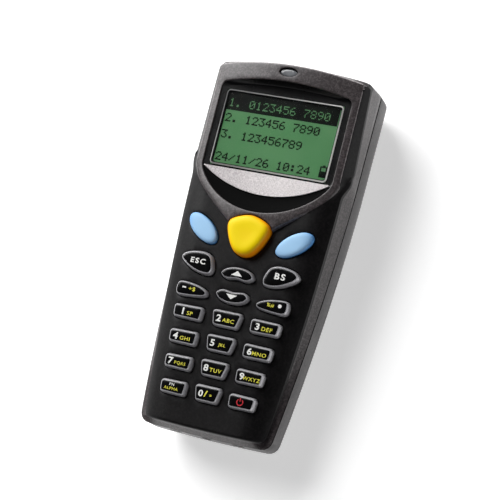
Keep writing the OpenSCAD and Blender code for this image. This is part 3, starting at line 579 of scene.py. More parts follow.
def add(tree, kind, inputs=None, stops=(), **settings):
    """Adds a node with its settings. Each input is a value or another node's output, and each
    stop is a position and a colour of its ramp."""
    made = tree.nodes.new(kind)
    for name, value in settings.items():
        setattr(made, name, value)
    for name, value in (inputs or {}).items():
        if isinstance(value, bpy.types.NodeSocket):
            tree.links.new(value, made.inputs[name])
        else:
            made.inputs[name].default_value = value
    for k, (position, code) in enumerate(stops):
        stop = made.color_ramp.elements[k] if k < 2 else made.color_ramp.elements.new(position)
        stop.position, stop.color = position, srgb(code)
    return made


def finish(name, **values):
    """A new material with its shader's uniform values, such as Base_Color or Roughness."""
    made = bpy.data.materials.new(name)
    made.use_nodes = True
    shader = made.node_tree.nodes["Principled BSDF"]
    for socket, value in values.items():
        shader.inputs[socket.replace("_", " ")].default_value = value
    return made, made.node_tree, shader


def moulded(name, dark, light, roughness, grain, depth, shine=0.5):
    """Plastic from a spark-eroded tool: an even grain, flecks of light, and patches that years of
    handling have polished. The grain is drawn at grain mm, as coarse as it must be to show."""
    made, tree, shader = finish(name, IOR=1.53, Specular_IOR_Level=shine)
    fleck, patch = 1.3 * grain, 18
    place = add(tree, "ShaderNodeTexCoord").outputs["Object"]
    pits = add(tree, "ShaderNodeTexNoise", {"Vector": place, "Scale": 1 / (grain * mm),
        "Detail": 2.0}).outputs["Fac"]
    flecks = add(tree, "ShaderNodeTexVoronoi", {"Vector": place, "Scale": 1 / (fleck * mm)}).outputs["Color"]
    patches = add(tree, "ShaderNodeTexNoise", {"Vector": place, "Scale": 1 / (patch * mm),
        "Detail": 3.0}).outputs["Fac"]
    colour = add(tree, "ShaderNodeValToRGB", {"Fac": flecks}, ((0.35, dark), (0.85, light))).outputs["Color"]
    wear = add(tree, "ShaderNodeMapRange", {"Value": patches, "From Min": 0.3, "From Max": 0.7,
        "To Min": roughness - 0.05, "To Max": roughness + 0.05}).outputs["Result"]
    bump = add(tree, "ShaderNodeBump", {"Height": pits, "Strength": 0.35,
        "Distance": depth * mm}).outputs["Normal"]
    for output, socket in ((colour, "Base Color"), (wear, "Roughness"), (bump, "Normal")):
        tree.links.new(output, shader.inputs[socket])
    return made


# Black ABS with a satin grain. The head and the outer walls are a little shinier than the deck, and painted
# lighter: a painted sheen. The ridges and the head's top edge are painted light grey and a little glossier: a
# painted highlight.
deck_abs = moulded("Black ABS, spark-eroded deck", "#0b0a0b", "#171516", 0.44, 0.4, 0.03, 0.18)
head_and_wall_sheen_abs = moulded("Charcoal ABS, satin head with painted sheen", "#383334", "#554f50", 0.36, 0.34, 0.03, 0.42)
ridge_highlight_abs = moulded("ABS ridge, painted highlight", "#8a8485", "#aaa4a5", 0.26, 0.34, 0.01)
for made in (deck_abs, head_and_wall_sheen_abs, ridge_highlight_abs):
    front_cover.data.materials.append(made)
centre = np.array([tuple(p.center) for p in front_cover.data.polygons]) / mm
deck_y = centre[:, 1] * math.cos(deck_tilt) + (centre[:, 2] - deck_z) * math.sin(deck_tilt)
deck_up = (centre[:, 2] - deck_z) * math.cos(deck_tilt) - centre[:, 1] * math.sin(deck_tilt)
across = np.abs(centre[:, 0])
step_foot, head_wall, ridge_end, top_highlight = 0.12, 3.4, 3.0, (0.06, 0.4)
raised = (v_inside(centre[:, 0], deck_y) > -step_foot) & (deck_up > -head_wall)
raised &= across < ridge_x + ridge_out
# The walls are the strips between the last ring of the deck and the parting line
strips = (np.arange(len(centre)) - 2 * len(triangles)) // len(flat_edge)
wall = (strips >= first_wall) & (strips <= last_wall)
from_end = half_len - deck_head - across**2 / (2 * top_arc_r) - deck_y
# Strips along the head's ridges and along its top edge are painted light grey: a painted highlight.
ridge = (across > ridge_x + ridge_in) & (across < ridge_x + ridge_out)
ridge &= (deck_y > step_end_y) & (deck_up > -ridge_end)
edge = (from_end > top_highlight[0]) & (from_end < top_highlight[1]) & (across < ridge_x)
ridge |= edge & (strips < first_wall - 1)
# The head and the outer walls take the lighter finish, a painted sheen; the ridge strips take the light grey
# one, a painted highlight.
front_cover.data.polygons.foreach_set("material_index", np.where(ridge, 2, raised | wall).astype(np.int32))
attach(front_cover, "case")
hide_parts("front_cover")


# ---- Display surround ----
# A gloss black ABS moulding that lines the display's recess. Its walls fall from the mouth to a
# flat floor with a hole for the window; below the window it is scooped out, and matt.
floor_z, floor_low = -1.2, 17.2
window_x, window_low, window_top = 20.5, 25.1, 50.7
window_back, hole_gap, lip_gap, lip_drop, wall_power = -2.35, 0.12, 0.08, 0.42, 1.7


def mottled(name, size, detail, shades, gloss, uneven=False, **values):
    """A finish whose roughness drifts between two values over patches of size mm. Its colour
    drifts with it where it has two shades, and its height where it is uneven."""
    made, tree, shader = finish(name, **values)
    place = add(tree, "ShaderNodeTexCoord").outputs["Object"]
    drift = add(tree, "ShaderNodeTexNoise", {"Vector": place, "Scale": 1 / (size * mm),
        "Detail": detail}).outputs["Fac"]
    rough = add(tree, "ShaderNodeMapRange", {"Value": drift, "To Min": gloss[0],
        "To Max": gloss[1]}).outputs["Result"]
    tree.links.new(rough, shader.inputs["Roughness"])
    if shades:
        colour = add(tree, "ShaderNodeValToRGB", {"Fac": drift},
            ((0.3, shades[0]), (0.7, shades[1]))).outputs["Color"]
        tree.links.new(colour, shader.inputs["Base Color"])
    if uneven:
        bump = add(tree, "ShaderNodeBump", {"Height": drift, "Strength": 0.2,
            "Distance": 0.02 * mm}).outputs["Normal"]
        tree.links.new(bump, shader.inputs["Normal"])
    return made


# The polished walls mirror the room faintly through smears; the scoop hardly shines at all
black_gloss = mottled("Black ABS, polished surround", 9, 4.0, None, (0.2, 0.36),
    Base_Color=srgb("#060607"), IOR=1.53, Specular_IOR_Level=0.2)
matt_black_and_gap_shade = mottled("Black ABS, matt scoop and painted gap shade", 0.5, 2.0, ("#040404", "#080808"), (0.65, 0.8), IOR=1.53,
    Specular_IOR_Level=0.03)
lip = grown(mouth_line, -lip_gap)
lip_z = front_height(mouth_line[:, 0], mouth_line[:, 1]) - lip_drop
floor_line = display_line((recess_x - 0.6, recess_foot - 0.2, floor_low),
    (recess_x - 1.5, recess_top - 1.3, recess_top + 0.8))
# The hole for the window is square: its arcs are all but straight
hole_line = display_line((window_x + hole_gap, window_low - hole_gap, window_low - 0.121),
    (window_x + hole_gap, window_top + hole_gap, window_top + 0.121), 1)
surround_rings = [at_height(lip + (floor_line - lip) * t, floor_z + (lip_z - floor_z) * (1 - t) ** wall_power)
    for t in np.linspace(0, 1, 11)]
surround_rings += [at_height(p, z) for p, z in (
    (hole_line, floor_z), (hole_line, window_back), (lip, window_back))]


def loft(rings, closed=False):
    """Vertices and faces of a skin over rings of equally many points, counterclockwise, from the
    lowest ring up. It is capped at both ends, or its last ring joins its first."""
    n = len(rings[0])
    vertices = np.concatenate(rings)
    faces = []
    for k in range(len(rings) if closed else len(rings) - 1):
        faces += strip(k * n + np.arange(n), (k + 1) % len(rings) * n + np.arange(n))
    if not closed:
        faces += [list(range(n))[::-1], [(len(rings) - 1) * n + i for i in range(n)]]
    return vertices, faces


vertices, faces = loft(surround_rings, closed=True)
surround = mesh_object("display_surround", to_case(vertices), faces)
surround.data.materials.append(black_gloss)
surround.data.materials.append(matt_black_and_gap_shade)
for p in surround.data.polygons:
    p.material_index = int(p.center.y < recess_foot * mm)
smooth(surround, 35)
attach(surround, "case")
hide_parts("display_bezel")

# ---- Display window ----
# A plate of clear PMMA, cut and then bevelled all round. The saw leaves the bevel frosted and light, and its
# colour also carries a painted highlight, whitest at the lower right. It is glued into the hole of the
# surround.
window_proud, bevel, window_round = 0.3, 0.45, 1.3
clear_acrylic = mottled("Clear PMMA, polished", 12, 3.0, None, (0.01, 0.05),
    Base_Color=srgb("#f6f8f6"), IOR=1.49, Transmission_Weight=1.0, Specular_IOR_Level=0.2)
frosted_and_highlit_edge, tree, shader = finish("Frosted PMMA edge with painted highlight", Roughness=0.5, IOR=1.49)
place = add(tree, "ShaderNodeTexCoord").outputs["Object"]
saw = add(tree, "ShaderNodeTexNoise", {"Vector": place, "Scale": 1 / (0.5 * mm),
    "Detail": 2.0}).outputs["Fac"]
# Painted highlight and shade: the bevel is painted whitest at the lower right, where x less y is -5 mm, and
# darkest at the upper left, where it is -71 mm. The saw's frost varies it a little.
towards = add(tree, "ShaderNodeVectorMath", {0: place, 1: (1, -1, 0)},
    operation="DOT_PRODUCT").outputs["Value"]
frost_and_highlight = add(tree, "ShaderNodeMapRange", {"Value": towards, "From Min": -71 * mm,
    "From Max": -5 * mm}).outputs["Result"]
frost_and_highlight = add(tree, "ShaderNodeMath", {0: saw, 1: 0.15, 2: frost_and_highlight}, operation="MULTIPLY_ADD").outputs[0]
bevel_highlight_colour = add(tree, "ShaderNodeValToRGB", {"Fac": frost_and_highlight},
    ((0.1, "#444445"), (0.95, "#f0f0ec"), (0.5, "#a3a3a1"))).outputs["Color"]
tree.links.new(bevel_highlight_colour, shader.inputs["Base Color"])


def rounded_box(x, low, top, r):
    """Outline of a plate that is 2 x wide, with round corners."""
    return rounded([(-x, low), (x, low), (x, top), (-x, top)], r, 8)


# Inset and height of the plate's back, of its upper edge and of the top of its bevel
levels = [(0, window_back + 0.35), (0, floor_z + 0.02), (bevel, floor_z + window_proud)]
window_line = rounded_box(window_x, window_low, window_top, window_round)
window_rings = [at_height(grown(window_line, -d), z) for d, z in levels]
vertices, faces = loft(window_rings)
window = mesh_object("window_plate", to_case(vertices), faces)
for finish_of in (clear_acrylic, frosted_and_highlit_edge):
    window.data.materials.append(finish_of)
per_ring = len(window_rings[0])
for p in window.data.polygons:
    p.material_index = 1 if per_ring <= p.index < 2 * per_ring else 0
smooth(window, 30)
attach(window, "case")
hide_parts("display_window")

# Behind the window lies a border of black screen ink on film, which hides the edge of the LCD
border_x, border_low, border_top, border_back, border_front = 19.6, 25.95, 49.75, -2.26, -2.04
border_ink = mottled("Black screen ink", 0.4, 1.0, ("#0a0a0b", "#131314"), (0.5, 0.65),
    Specular_IOR_Level=0.2)


def hollow(outer, inner, low, top):
    """Vertices and faces of a flat frame between two outlines."""
    corners = ((outer, low), (outer, top), (inner, top), (inner, low))
    return loft([at_height(p, z) for p, z in corners], closed=True)


border_lines = [resampled(p, 120) for p in (rounded_box(window_x, window_low, window_top, 0.8),
    rounded_box(border_x, border_low, border_top, 0.4))]
vertices, faces = hollow(*border_lines, border_back, border_front)
border = mesh_object("window_border", to_case(vertices), faces)
border.data.materials.append(border_ink)
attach(border, "case")

# ---- LCD ----
# A backlit STN display of 100 by 64 dots, green between them. A dot that is on is nearly black,
# and runs a little into the next. It shows three numbered rows, the first one inverted, then the
# date, the time and the battery.
dot, dot_w, dot_h, dot_t = 0.4, 0.5, 0.46, 0.04
lcd_top, lcd_t, lcd_left, first_row = -2.28, 1.0, -19.2, 46.55
# The glass glows faintly green: partly its backlight, partly painted light that makes up for the light the
# clear window keeps from it.
stn_glass_with_painted_glow = mottled("STN glass, backlight and painted glow", 14, 2.0, ("#5b9463", "#70a374"), (0.28, 0.4), IOR=1.5,
    Specular_IOR_Level=0.3, Emission_Color=srgb("#6fc476"), Emission_Strength=0.17)
lcd_line = rounded_box(window_x, window_low, window_top, 0.3)
vertices, faces = loft([at_height(lcd_line, lcd_top - lcd_t), at_height(lcd_line, lcd_top)])
lcd = mesh_object("lcd_panel", to_case(vertices), faces)
lcd.data.materials.append(stn_glass_with_painted_glow)
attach(lcd, "case")
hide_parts("lcd_glass")

# Columns of each figure, five bytes with the top dot in the lowest bit
figures = {"0": "3E5149453E", "1": "00427F4000", "2": "4261514946", "3": "2141454B31", "4": "1814127F10",
    "5": "2745454539", "6": "3C4A494930", "7": "0171090503", "8": "3649494936", "9": "064949291E",
    ".": "0060600000", ":": "0036360000", "/": "2010080402", " ": "0000000000"}


def lit(words, column, row):
    """Dots of a row of figures, from its first column and the row of its top dots. A figure is 5
    dots wide and 7 high, with a dot between two of them."""
    return {(column + 6 * i + c, row + r) for i, figure in enumerate(words) for c in range(5)
        for r in range(7) if int(figures[figure][2 * c:2 * c + 2], 16) >> r & 1}


# A dark bar with the first row left out of it, the other rows, and the battery with its knob
shown = {(c, r) for c in range(-2, 96) for r in range(-5, 10)} - lit("1. 0123456 7890", 0, 0)
shown |= lit("2. 123456 7890", 0, 13) | lit("3. 123456789", 0, 27) | lit("24/11/26 10:24", 0, 46)
shown |= {(c, r) for c in range(91, 97) for r in range(44, 53) if r in (44, 52) or c in (91, 96) or r > 47}
shown |= {(93, 43), (94, 43)}
# Dots that run into each other lie at slightly different heights, so that none flicker
dots_at = to_case([(lcd_left + dot * (c + 0.5), first_row + 3.5 * dot - dot * (r + 0.5),
    lcd_top + 0.004 * ((c + 2 * r) % 4)) for c, r in sorted(shown)])
dark_dot = mottled("STN dot, switched on", 6, 1.0, ("#070b07", "#0f150f"), (0.3, 0.4),
    Specular_IOR_Level=0.2)


def meshed(source):
    """The mesh that an object makes with its modifiers or its text. The object is removed."""
    bpy.context.view_layer.update()
    made = bpy.data.meshes.new_from_object(source.evaluated_get(bpy.context.evaluated_depsgraph_get()))
    bpy.data.objects.remove(source)
    return made


def scattered(name, places, width, depth, height, tilt, material):
    """One mesh with a small block on each place, made by Geometry Nodes."""
    source = mesh_object(name, places, [])
    tree = bpy.data.node_groups.new(name, "GeometryNodeTree")
    tree.interface.new_socket("Geometry", in_out="INPUT", socket_type="NodeSocketGeometry")
    size = tree.interface.new_socket("Block size", in_out="INPUT", socket_type="NodeSocketVector")
    lean = tree.interface.new_socket("Lean", in_out="INPUT", socket_type="NodeSocketFloat")
    tree.interface.new_socket("Geometry", in_out="OUTPUT", socket_type="NodeSocketGeometry")
    given = add(tree, "NodeGroupInput").outputs
    block = add(tree, "GeometryNodeMeshCube", {"Size": given["Block size"]}).outputs["Mesh"]
    turned = add(tree, "ShaderNodeCombineXYZ", {"X": given["Lean"]}).outputs["Vector"]
    each = add(tree, "GeometryNodeInstanceOnPoints", {"Points": given["Geometry"], "Instance": block,
        "Rotation": turned}).outputs["Instances"]
    real = add(tree, "GeometryNodeRealizeInstances", {"Geometry": each}).outputs["Geometry"]
    painted = add(tree, "GeometryNodeSetMaterial", {"Geometry": real,
        "Material": material}).outputs["Geometry"]
    add(tree, "NodeGroupOutput", {"Geometry": painted})
    nodes = source.modifiers.new("Blocks", "NODES")
    nodes.node_group = tree
    nodes[size.identifier] = [width * mm, depth * mm, height * mm]
    nodes[lean.identifier] = tilt
    return linked(name, meshed(source))


dots = scattered("lcd_dots", dots_at, dot_w, dot_h, dot_t, deck_tilt, dark_dot)
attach(dots, "case")

# ---- Name plate ----
# A crescent of thin aluminium, bead blasted and clear anodised, so it is bright but without any
# mirror image. It is glued to the floor below the window, and left bare.
plate_tip, plate_tip_y, plate_low, plate_top, plate_lift = 22.0, 24.25, 17.5, 24.5, 0.26
plate_edge, plate_middle, plate_shrink = 0.1, 22.0, 0.15
blasted, tree, shader = finish("Aluminium, bead blasted and anodised", Metallic=0.8)
place = add(tree, "ShaderNodeTexCoord").outputs["Object"]
beads = add(tree, "ShaderNodeTexNoise", {"Vector": place, "Scale": 1 / (0.35 * mm),
    "Detail": 3.0}).outputs["Fac"]
# Painted shade and light: the plate is painted darker towards its tip at negative x and lighter towards
# positive x
across = add(tree, "ShaderNodeSeparateXYZ", {"Vector": place}).outputs["X"]
evenly = add(tree, "ShaderNodeMapRange", {"Value": across, "From Min": -plate_tip * mm, "From Max": 6 * mm,
    "To Min": -0.2, "To Max": 0.12}).outputs["Result"]
cover = add(tree, "ShaderNodeMath", {0: beads, 1: evenly}, operation="ADD").outputs[0]
silver = add(tree, "ShaderNodeValToRGB", {"Fac": cover},
    ((0.2, "#8a8586"), (0.7, "#d2cdcd"))).outputs["Color"]
dull = add(tree, "ShaderNodeMapRange", {"Value": beads, "To Min": 0.35, "To Max": 0.55}).outputs["Result"]
dents = add(tree, "ShaderNodeBump", {"Height": beads, "Strength": 0.3,
    "Distance": 0.03 * mm}).outputs["Normal"]
for output, socket in ((silver, "Base Color"), (dull, "Roughness"), (dents, "Normal")):
    tree.links.new(output, shader.inputs[socket])
plate_line = np.vstack([bow(plate_tip, plate_tip_y, plate_low, 90)[::-1],
    bow(plate_tip - plate_edge, plate_top, plate_top + 0.001, 90)])
# How far the plate is drawn in, and its height, at its back, at its edge and at its face
levels = [(0.0, floor_z - 0.02), (0.0, floor_z + plate_lift - plate_edge),
    (plate_shrink * plate_edge, floor_z + plate_lift)]
vertices, faces = loft([at_height(plate_line * (1 - shrink) + (0, shrink * plate_middle), z)
    for shrink, z in levels])
plate = mesh_object("silver_plate", to_case(vertices), faces)
plate.data.materials.append(blasted)
smooth(plate, 30)
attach(plate, "case")
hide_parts("name_plate")

# ---- Status light ----
# The end of a light pipe of smoky polycarbonate, polished and set a little below the head, with
# the black wall of its hole showing above it.
smoke = mottled("Smoked polycarbonate, polished", 2, 2.0, ("#74767a", "#8d9094"), (0.16, 0.28), IOR=1.58,
    Transmission_Weight=0.3)
around_led = resampled(led_line, 64)
led_middle, lens_w, lens_h, lens_low = np.array([0, led_y]), 0.97, 0.84, 0.18
# Size and height of the pipe's foot and of its domed end
lens_rows = [(1.0, -0.6), (1.0, 1.18), (0.96, 1.32), (0.86, 1.42), (0.68, 1.48), (0.4, 1.51)]
lens_rings = [at_height(led_middle + (around_led - led_middle) * (s * lens_w, s * lens_h) - (0, lens_low), z)
    for s, z in lens_rows]
vertices, faces = loft(lens_rings)
lens = mesh_object("status_window", to_case(vertices), faces)
lens.data.materials.append(smoke)
smooth(lens, 50)
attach(lens, "case")
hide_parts("status_lens")

# The black collar round the pipe fills the rest of the hole
collar_low, collar_top = 0.2, 0.75
vertices, faces = hollow(grown(around_led, -0.02), lens_rings[0][:, :2], collar_low, collar_top)
collar = mesh_object("status_collar", to_case(vertices), faces)
collar.data.materials.append(border_ink)
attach(collar, "case")

# ---- Keys ----
# Each key is a cap of its own. The black ones are moulded in ABS with a sloping rim, painted satin
# grey, round a gloss black face that carries its legend. The scan key and the two oval keys are
# moulded in coloured ABS and left as they come from a polished tool.
rim_paint = mottled("ABS with silver-grey paint", 0.3, 2.0, ("#a3a2a5", "#c1c0c4"), (0.24, 0.36),
    Metallic=0.35)
face_gloss = mottled("ABS face, gloss lacquered", 4, 3.0, ("#040405", "#09090a"), (0.12, 0.26),
    Coat_Weight=0.25, Coat_Roughness=0.08, IOR=1.5, Specular_IOR_Level=0.25)


def coloured(name, shaded_side, lit_top, low, high, roughness):
    """Coloured ABS straight from a polished tool. Its sides, below the height low in mm over the deck, are
    painted in the shaded colour and its top, above the height high, in the lit one: painted shade and painted
    light."""
    made, tree, shader = finish(name, IOR=1.53, Specular_IOR_Level=0.16)
    place = add(tree, "ShaderNodeTexCoord").outputs["Object"]
    level = (0, -math.sin(deck_tilt) / mm, math.cos(deck_tilt) / mm)
    above = add(tree, "ShaderNodeVectorMath", {0: place, 1: level}, operation="DOT_PRODUCT").outputs["Value"]
    foot = deck_z * math.cos(deck_tilt)
    depth = add(tree, "ShaderNodeMapRange", {"Value": above, "From Min": foot + low,
        "From Max": foot + high}).outputs["Result"]
    shade = add(tree, "ShaderNodeValToRGB", {"Fac": depth}, ((0.0, shaded_side), (1.0, lit_top))).outputs["Color"]
    cloud = add(tree, "ShaderNodeTexNoise", {"Vector": place, "Scale": 1 / (5 * mm),
        "Detail": 3.0}).outputs["Fac"]
    rubbed = add(tree, "ShaderNodeMapRange", {"Value": cloud, "To Min": roughness - 0.05,
        "To Max": roughness + 0.08}).outputs["Result"]
    tree.links.new(shade, shader.inputs["Base Color"])
    tree.links.new(rubbed, shader.inputs["Roughness"])
    return made


# Painted shade and light: each coloured key is painted darker on its sides and lighter on its top.
yellow_abs = coloured("Yellow ABS, moulded", "#f89400", "#ffe100", 2.3, 3.55, 0.46)
blue_abs = coloured("Sky blue ABS, moulded", "#5c98d6", "#a9d4f8", 0.4, 1.5, 0.4)

# Slope of the rim, as inset and height; then the faces, as scale and height
rim_slope = [(0.04, -2.0), (0.0, -0.1), (0.02, 0.3), (0.08, 0.7), (0.26, 1.25), (0.46, 1.66), (0.54, 1.76),
    (0.62, 1.82), (0.69, 1.83), (0.73, 1.78)]
face_swell = [(1.0, 1.78), (0.98, 1.84), (0.955, 1.88), (0.9, 1.915), (0.75, 1.942), (0.4, 1.955)]
oval_swell = [(1.0, -2.0), (1.0, 0.35), (0.992, 0.7), (0.965, 0.98), (0.91, 1.22), (0.82, 1.38), (0.68, 1.47),
    (0.45, 1.5)]
scan_swell = [(1.0, -2.0), (1.0, 1.2), (0.995, 1.75), (0.98, 2.2), (0.955, 2.6), (0.92, 2.92), (0.88, 3.17),
    (0.83, 3.36), (0.77, 3.49), (0.7, 3.57), (0.62, 3.6), (0.53, 3.59), (0.43, 3.56), (0.32, 3.52),
    (0.2, 3.49), (0.1, 3.48)]
face_inset, small_key_rim, oval_lie = 0.75, 0.82, 0.7


def shrunk(p, scale):
    """The outline scaled towards its middle."""
    middle = (p.max(0) + p.min(0)) / 2
    return middle + (p - middle) * scale


def key_piece(name, rings, materials, split=None):
    """A cap from rings in the deck's frame. Faces from the ring split upwards take the second
    material."""
    vertices, faces = loft(rings)
    made = mesh_object(name, to_case(vertices), faces)
    for finish_of in materials:
        made.data.materials.append(finish_of)
    if split is not None:
        sides = len(rings[0]) * (len(rings) - 1)
        for p in made.data.polygons:
            p.material_index = int(len(rings[0]) * split <= p.index < sides or p.index == sides + 1)
    smooth(made, 28)
    return made


for name, outline in key_line.items():
    at = np.array(key_at[name])
    if name in ("scan", "left", "right"):
        outline = resampled(outline, 96)
        swell = scan_swell if name == "scan" else oval_swell
        rings = [at_height(shrunk(outline, s) + at, z) for s, z in swell]
        if name != "scan":
            # An oval key's face leans with the deck round it
            for ring in rings[1:]:
                ring[:, 2] += oval_lie * np.minimum(front_height(ring[:, 0], ring[:, 1]), 0)
        cap = key_piece(f"cap_{name}", rings, [yellow_abs if name == "scan" else blue_abs])
    else:
        outline = resampled(outline, 72)
        narrow = small_key_rim if name in ("up", "down", "minus", "dot") else 1.0
        rings = [at_height(grown(outline, -d * narrow) + at, z) for d, z in rim_slope]
        edge = grown(outline, -face_inset * narrow)
        rings += [at_height(shrunk(edge, s) + at, z) for s, z in face_swell]
        cap = key_piece(f"cap_{name}", rings, [rim_paint, face_gloss], len(rim_slope))
    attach(cap, f"key_{name}")
    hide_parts(f"key_{name}")

# Legends: white figures and yellow letters in screen ink, thick enough to be felt. Each word has
# its place on the key, the height of its capitals, and its ink.
white_ink, yellow_ink, red_ink = [mottled(f"{label} screen ink", 0.5, 1.0, shades, (0.38, 0.52),
    Specular_IOR_Level=0.3) for label, shades in (("White", ("#e6e6e2", "#f6f6f3")),
    ("Yellow", ("#d9d23e", "#ece552")), ("Red", ("#b01c26", "#c92a34")))]
figure_h, letter_h, four_h = 2.2, 1.25, 1.15
words = {"esc": [("ESC", 0.1, 0.12, 1.8, white_ink)], "bs": [("BS", 0.2, 0.15, 2.1, white_ink)],
    "minus": [("-", -2.5, 0.35, 0.5, white_ink), ("+$", 0.3, 0.1, 1.5, yellow_ink)],
    "dot": [("%#", -0.4, 0.15, 1.3, yellow_ink)],
    "fn": [("FN", -0.3, 0.75, 0.85, white_ink), ("ALPHA", -0.3, -0.55, 0.9, yellow_ink)],
    "0": [("0", -1.9, -0.1, 2.1, white_ink), ("/", -0.2, 0.0, 2.0, yellow_ink),
        ("*", 1.5, -0.25, 0.85, yellow_ink)]}
for name, letters in (("1", "SP"), ("2", "ABC"), ("3", "DEF"), ("4", "GHI"), ("5", "JKL"), ("6", "MNO"),
        ("7", "PQRS"), ("8", "TUV"), ("9", "WXYZ")):
    words[name] = [(name, -1.4 if name == "1" else -2.3, -0.05, figure_h, white_ink),
        (letters, 1.05, -0.42, four_h if len(letters) == 4 else letter_h, yellow_ink)]
print_z, ink_t, type_w, large = 1.95, 0.025, 1.14, 1.5


def printed(word, x, y, height):
    """Vertices and faces of a word, centred on its place, as thin ink. Large words are set bolder
    and wider apart."""
    curve = bpy.data.curves.new(word, "FONT")
    curve.body, curve.extrude, curve.resolution_u = word, 0.01, 4
    curve.space_character, curve.offset = (1.3, 0.03) if height > large else (1.14, 0.012)
    mesh = meshed(linked(word, curve))
    p = np.array([tuple(v.co) for v in mesh.vertices])
    faces = [list(f.vertices) for f in mesh.polygons]
    low, high = p.min(0), p.max(0)
    scale = height / (high[1] - low[1])
    p = (p - (low + high) / 2) * [scale * type_w, scale, ink_t / (high[2] - low[2])]
    return p + [x, y, print_z + ink_t / 2], faces


def inked(line, x, y):
    """A flat printed shape from its outline."""
    placed = np.asarray(line, float) + (x, y)
    return loft([at_height(placed, print_z), at_height(placed, print_z + ink_t)])


shapes = {"up": [([(-2.0, -0.55), (1.9, -0.6), (0, 1.0)], 0.1, 0.0, white_ink)],
    "down": [([(-1.9, 0.6), (0, -0.95), (2.0, 0.55)], 0.0, 0.0, white_ink)],
    "dot": [(np.stack([np.cos(full_turn), np.sin(full_turn)], 1) * 0.62, 2.75, 0.4, white_ink)]}
sweep = np.radians(np.linspace(125, 415, 40))
arc_of = np.stack([np.cos(sweep), np.sin(sweep)], 1)
shapes["power"] = [(np.vstack([arc_of * 1.15, arc_of[::-1] * 0.82]), -0.3, 0.0, red_ink),
    ([(-0.17, 0.25), (0.17, 0.25), (0.17, 1.4), (-0.17, 1.4)], -0.3, 0.0, red_ink)]
for name in list(words) + [name for name in shapes if name not in words]:
    parts = [(*printed(word, x, y, height), ink) for word, x, y, height, ink in words.get(name, [])]
    parts += [(*inked(line, x, y), ink) for line, x, y, ink in shapes.get(name, [])]
    inks = list(dict.fromkeys(ink for _, _, ink in parts))
    vertices, faces, slots = [], [], []
    for p, f, ink in parts:
        faces += [[i + sum(map(len, vertices)) for i in face] for face in f]
        vertices.append(p + [*key_at[name], 0])
        slots += [inks.index(ink)] * len(f)
    legend = mesh_object(f"legend_{name}", to_case(np.concatenate(vertices)), faces)
    for ink in inks:
        legend.data.materials.append(ink)
    legend.data.polygons.foreach_set("material_index", slots)
    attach(legend, f"key_{name}")


# ---- Rear cover ----
# The back half of the case: one ABS moulding with a spark-eroded outside, rounded along its back
# and open over the batteries. Six screws hold it to the front cover. Its solid comes with a few
# flats round the back edge, so these are cut finer and moved out to the true curve.
back_r, end_r, foot_r, flat_steps = 11.0, 3.0, 4.0, 4
skin, facing = 1.1, 0.25


def edge_inset(z, steps=None):
    """Share of the back's rounding that is cut away at a height; with steps, of its flats."""
    if steps is None:
        return 1 - np.sqrt(np.clip(1 - (1 - np.clip(z, 0, back_r) / back_r) ** 2, 0, 1))
    a = np.linspace(math.pi / 2, 0, steps + 1)
    return np.interp(np.clip(z, 0, back_r), back_r * (1 - np.sin(a)), 1 - np.cos(a))


def fined(node, piece, levels, bevelled=False):
    """The node's solid as a piece of its own, with its back edge truly round and a fine bevel
    along the parting line."""
    work = bmesh.new()
    work.from_mesh(frame["nodes"][node].data)
    bmesh.ops.remove_doubles(work, verts=work.verts, dist=1e-6)
    for z in levels:
        everything = work.verts[:] + work.edges[:] + work.faces[:]
        bmesh.ops.bisect_plane(work, geom=everything, dist=1e-7, plane_co=(0, 0, z * mm), plane_no=(0, 0, 1))
    work.normal_update()
    for v in work.verts:
        x, y, z = v.co / mm
        share = float(edge_inset(z, flat_steps))
        side = float(side_x(y)) - share * back_r - abs(x)
        head = half_len - share * end_r - x * x / (2 * parting_arc_r) - y
        foot = y + half_len - share * foot_r - x * x / (2 * foot_arc_r)
        # Only the outside moves: points near the skin, with a face that looks outwards
        sideways = side < min(head, foot)
        out = Vector((math.copysign(1, x), 0, 0) if sideways else (0, math.copysign(1, y), 0))
        if min(side, head, foot) > skin or not any(f.normal.dot(out) > facing for f in v.link_faces):
            continue
        if z < back_r:
            true = float(edge_inset(z))
            wide = (float(side_x(y)) - true * back_r) / max(float(side_x(y)) - share * back_r, 1)
            end = end_r if y > 0 else foot_r
            v.co.x *= wide
            v.co.y *= (half_len - true * end) / (half_len - share * end)
        elif bevelled and z > part_z - 1e-3:
            v.co.x *= 1 - parting_bevel / half_w
            v.co.y *= 1 - parting_bevel / half_len
    mesh = bpy.data.meshes.new(piece)
    work.to_mesh(mesh)
    work.free()
    made = linked(piece, mesh)
    smooth(made, 24)
    # The broad flat of the back keeps its own normals, so no triangle of it is shaded as if bent
    work = bmesh.new()
    work.from_mesh(mesh)
    for e in work.edges:
        flats = sum(f.normal.z < -0.9999 for f in e.link_faces)
        e.smooth = e.smooth and not 0 < flats < len(e.link_faces)
    work.to_mesh(mesh)
    work.free()
    return made


fine_step = 90 / 32
fine_levels = [back_r * (1 - math.sin(math.radians(a))) for a in np.arange(fine_step, 89, fine_step)]
rear_abs = moulded("Charcoal ABS, spark-eroded back", "#2e2b2c", "#443f40", 0.42, 0.45, 0.04)
rear_shell = fined("rear_cover", "rear_shell", fine_levels + [part_z - parting_step], True)
rear_shell.data.materials.append(rear_abs)
rear_shell.data.materials.append(matt_black_and_gap_shade)
# The rim of the rear shell at the parting line takes the near-black matt finish: painted shade in the gap
# between the two shells.
for p in rear_shell.data.polygons:
    p.material_index = int(p.center.z > (part_z - parting_step + 0.02) * mm)
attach(rear_shell, "case")
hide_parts("rear_cover")

# ---- Battery cover ----
# A darker ABS moulding that slides off the foot on two rails. Six grooves under the thumb help
# to push it.
cover_abs = moulded("Black ABS, battery cover", "#242122", "#383435", 0.44, 0.45, 0.04)
cover_lid = fined("battery_cover", "battery_lid", fine_levels)
cover_lid.data.materials.append(cover_abs)
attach(cover_lid, "battery_cover")
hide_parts("battery_cover")


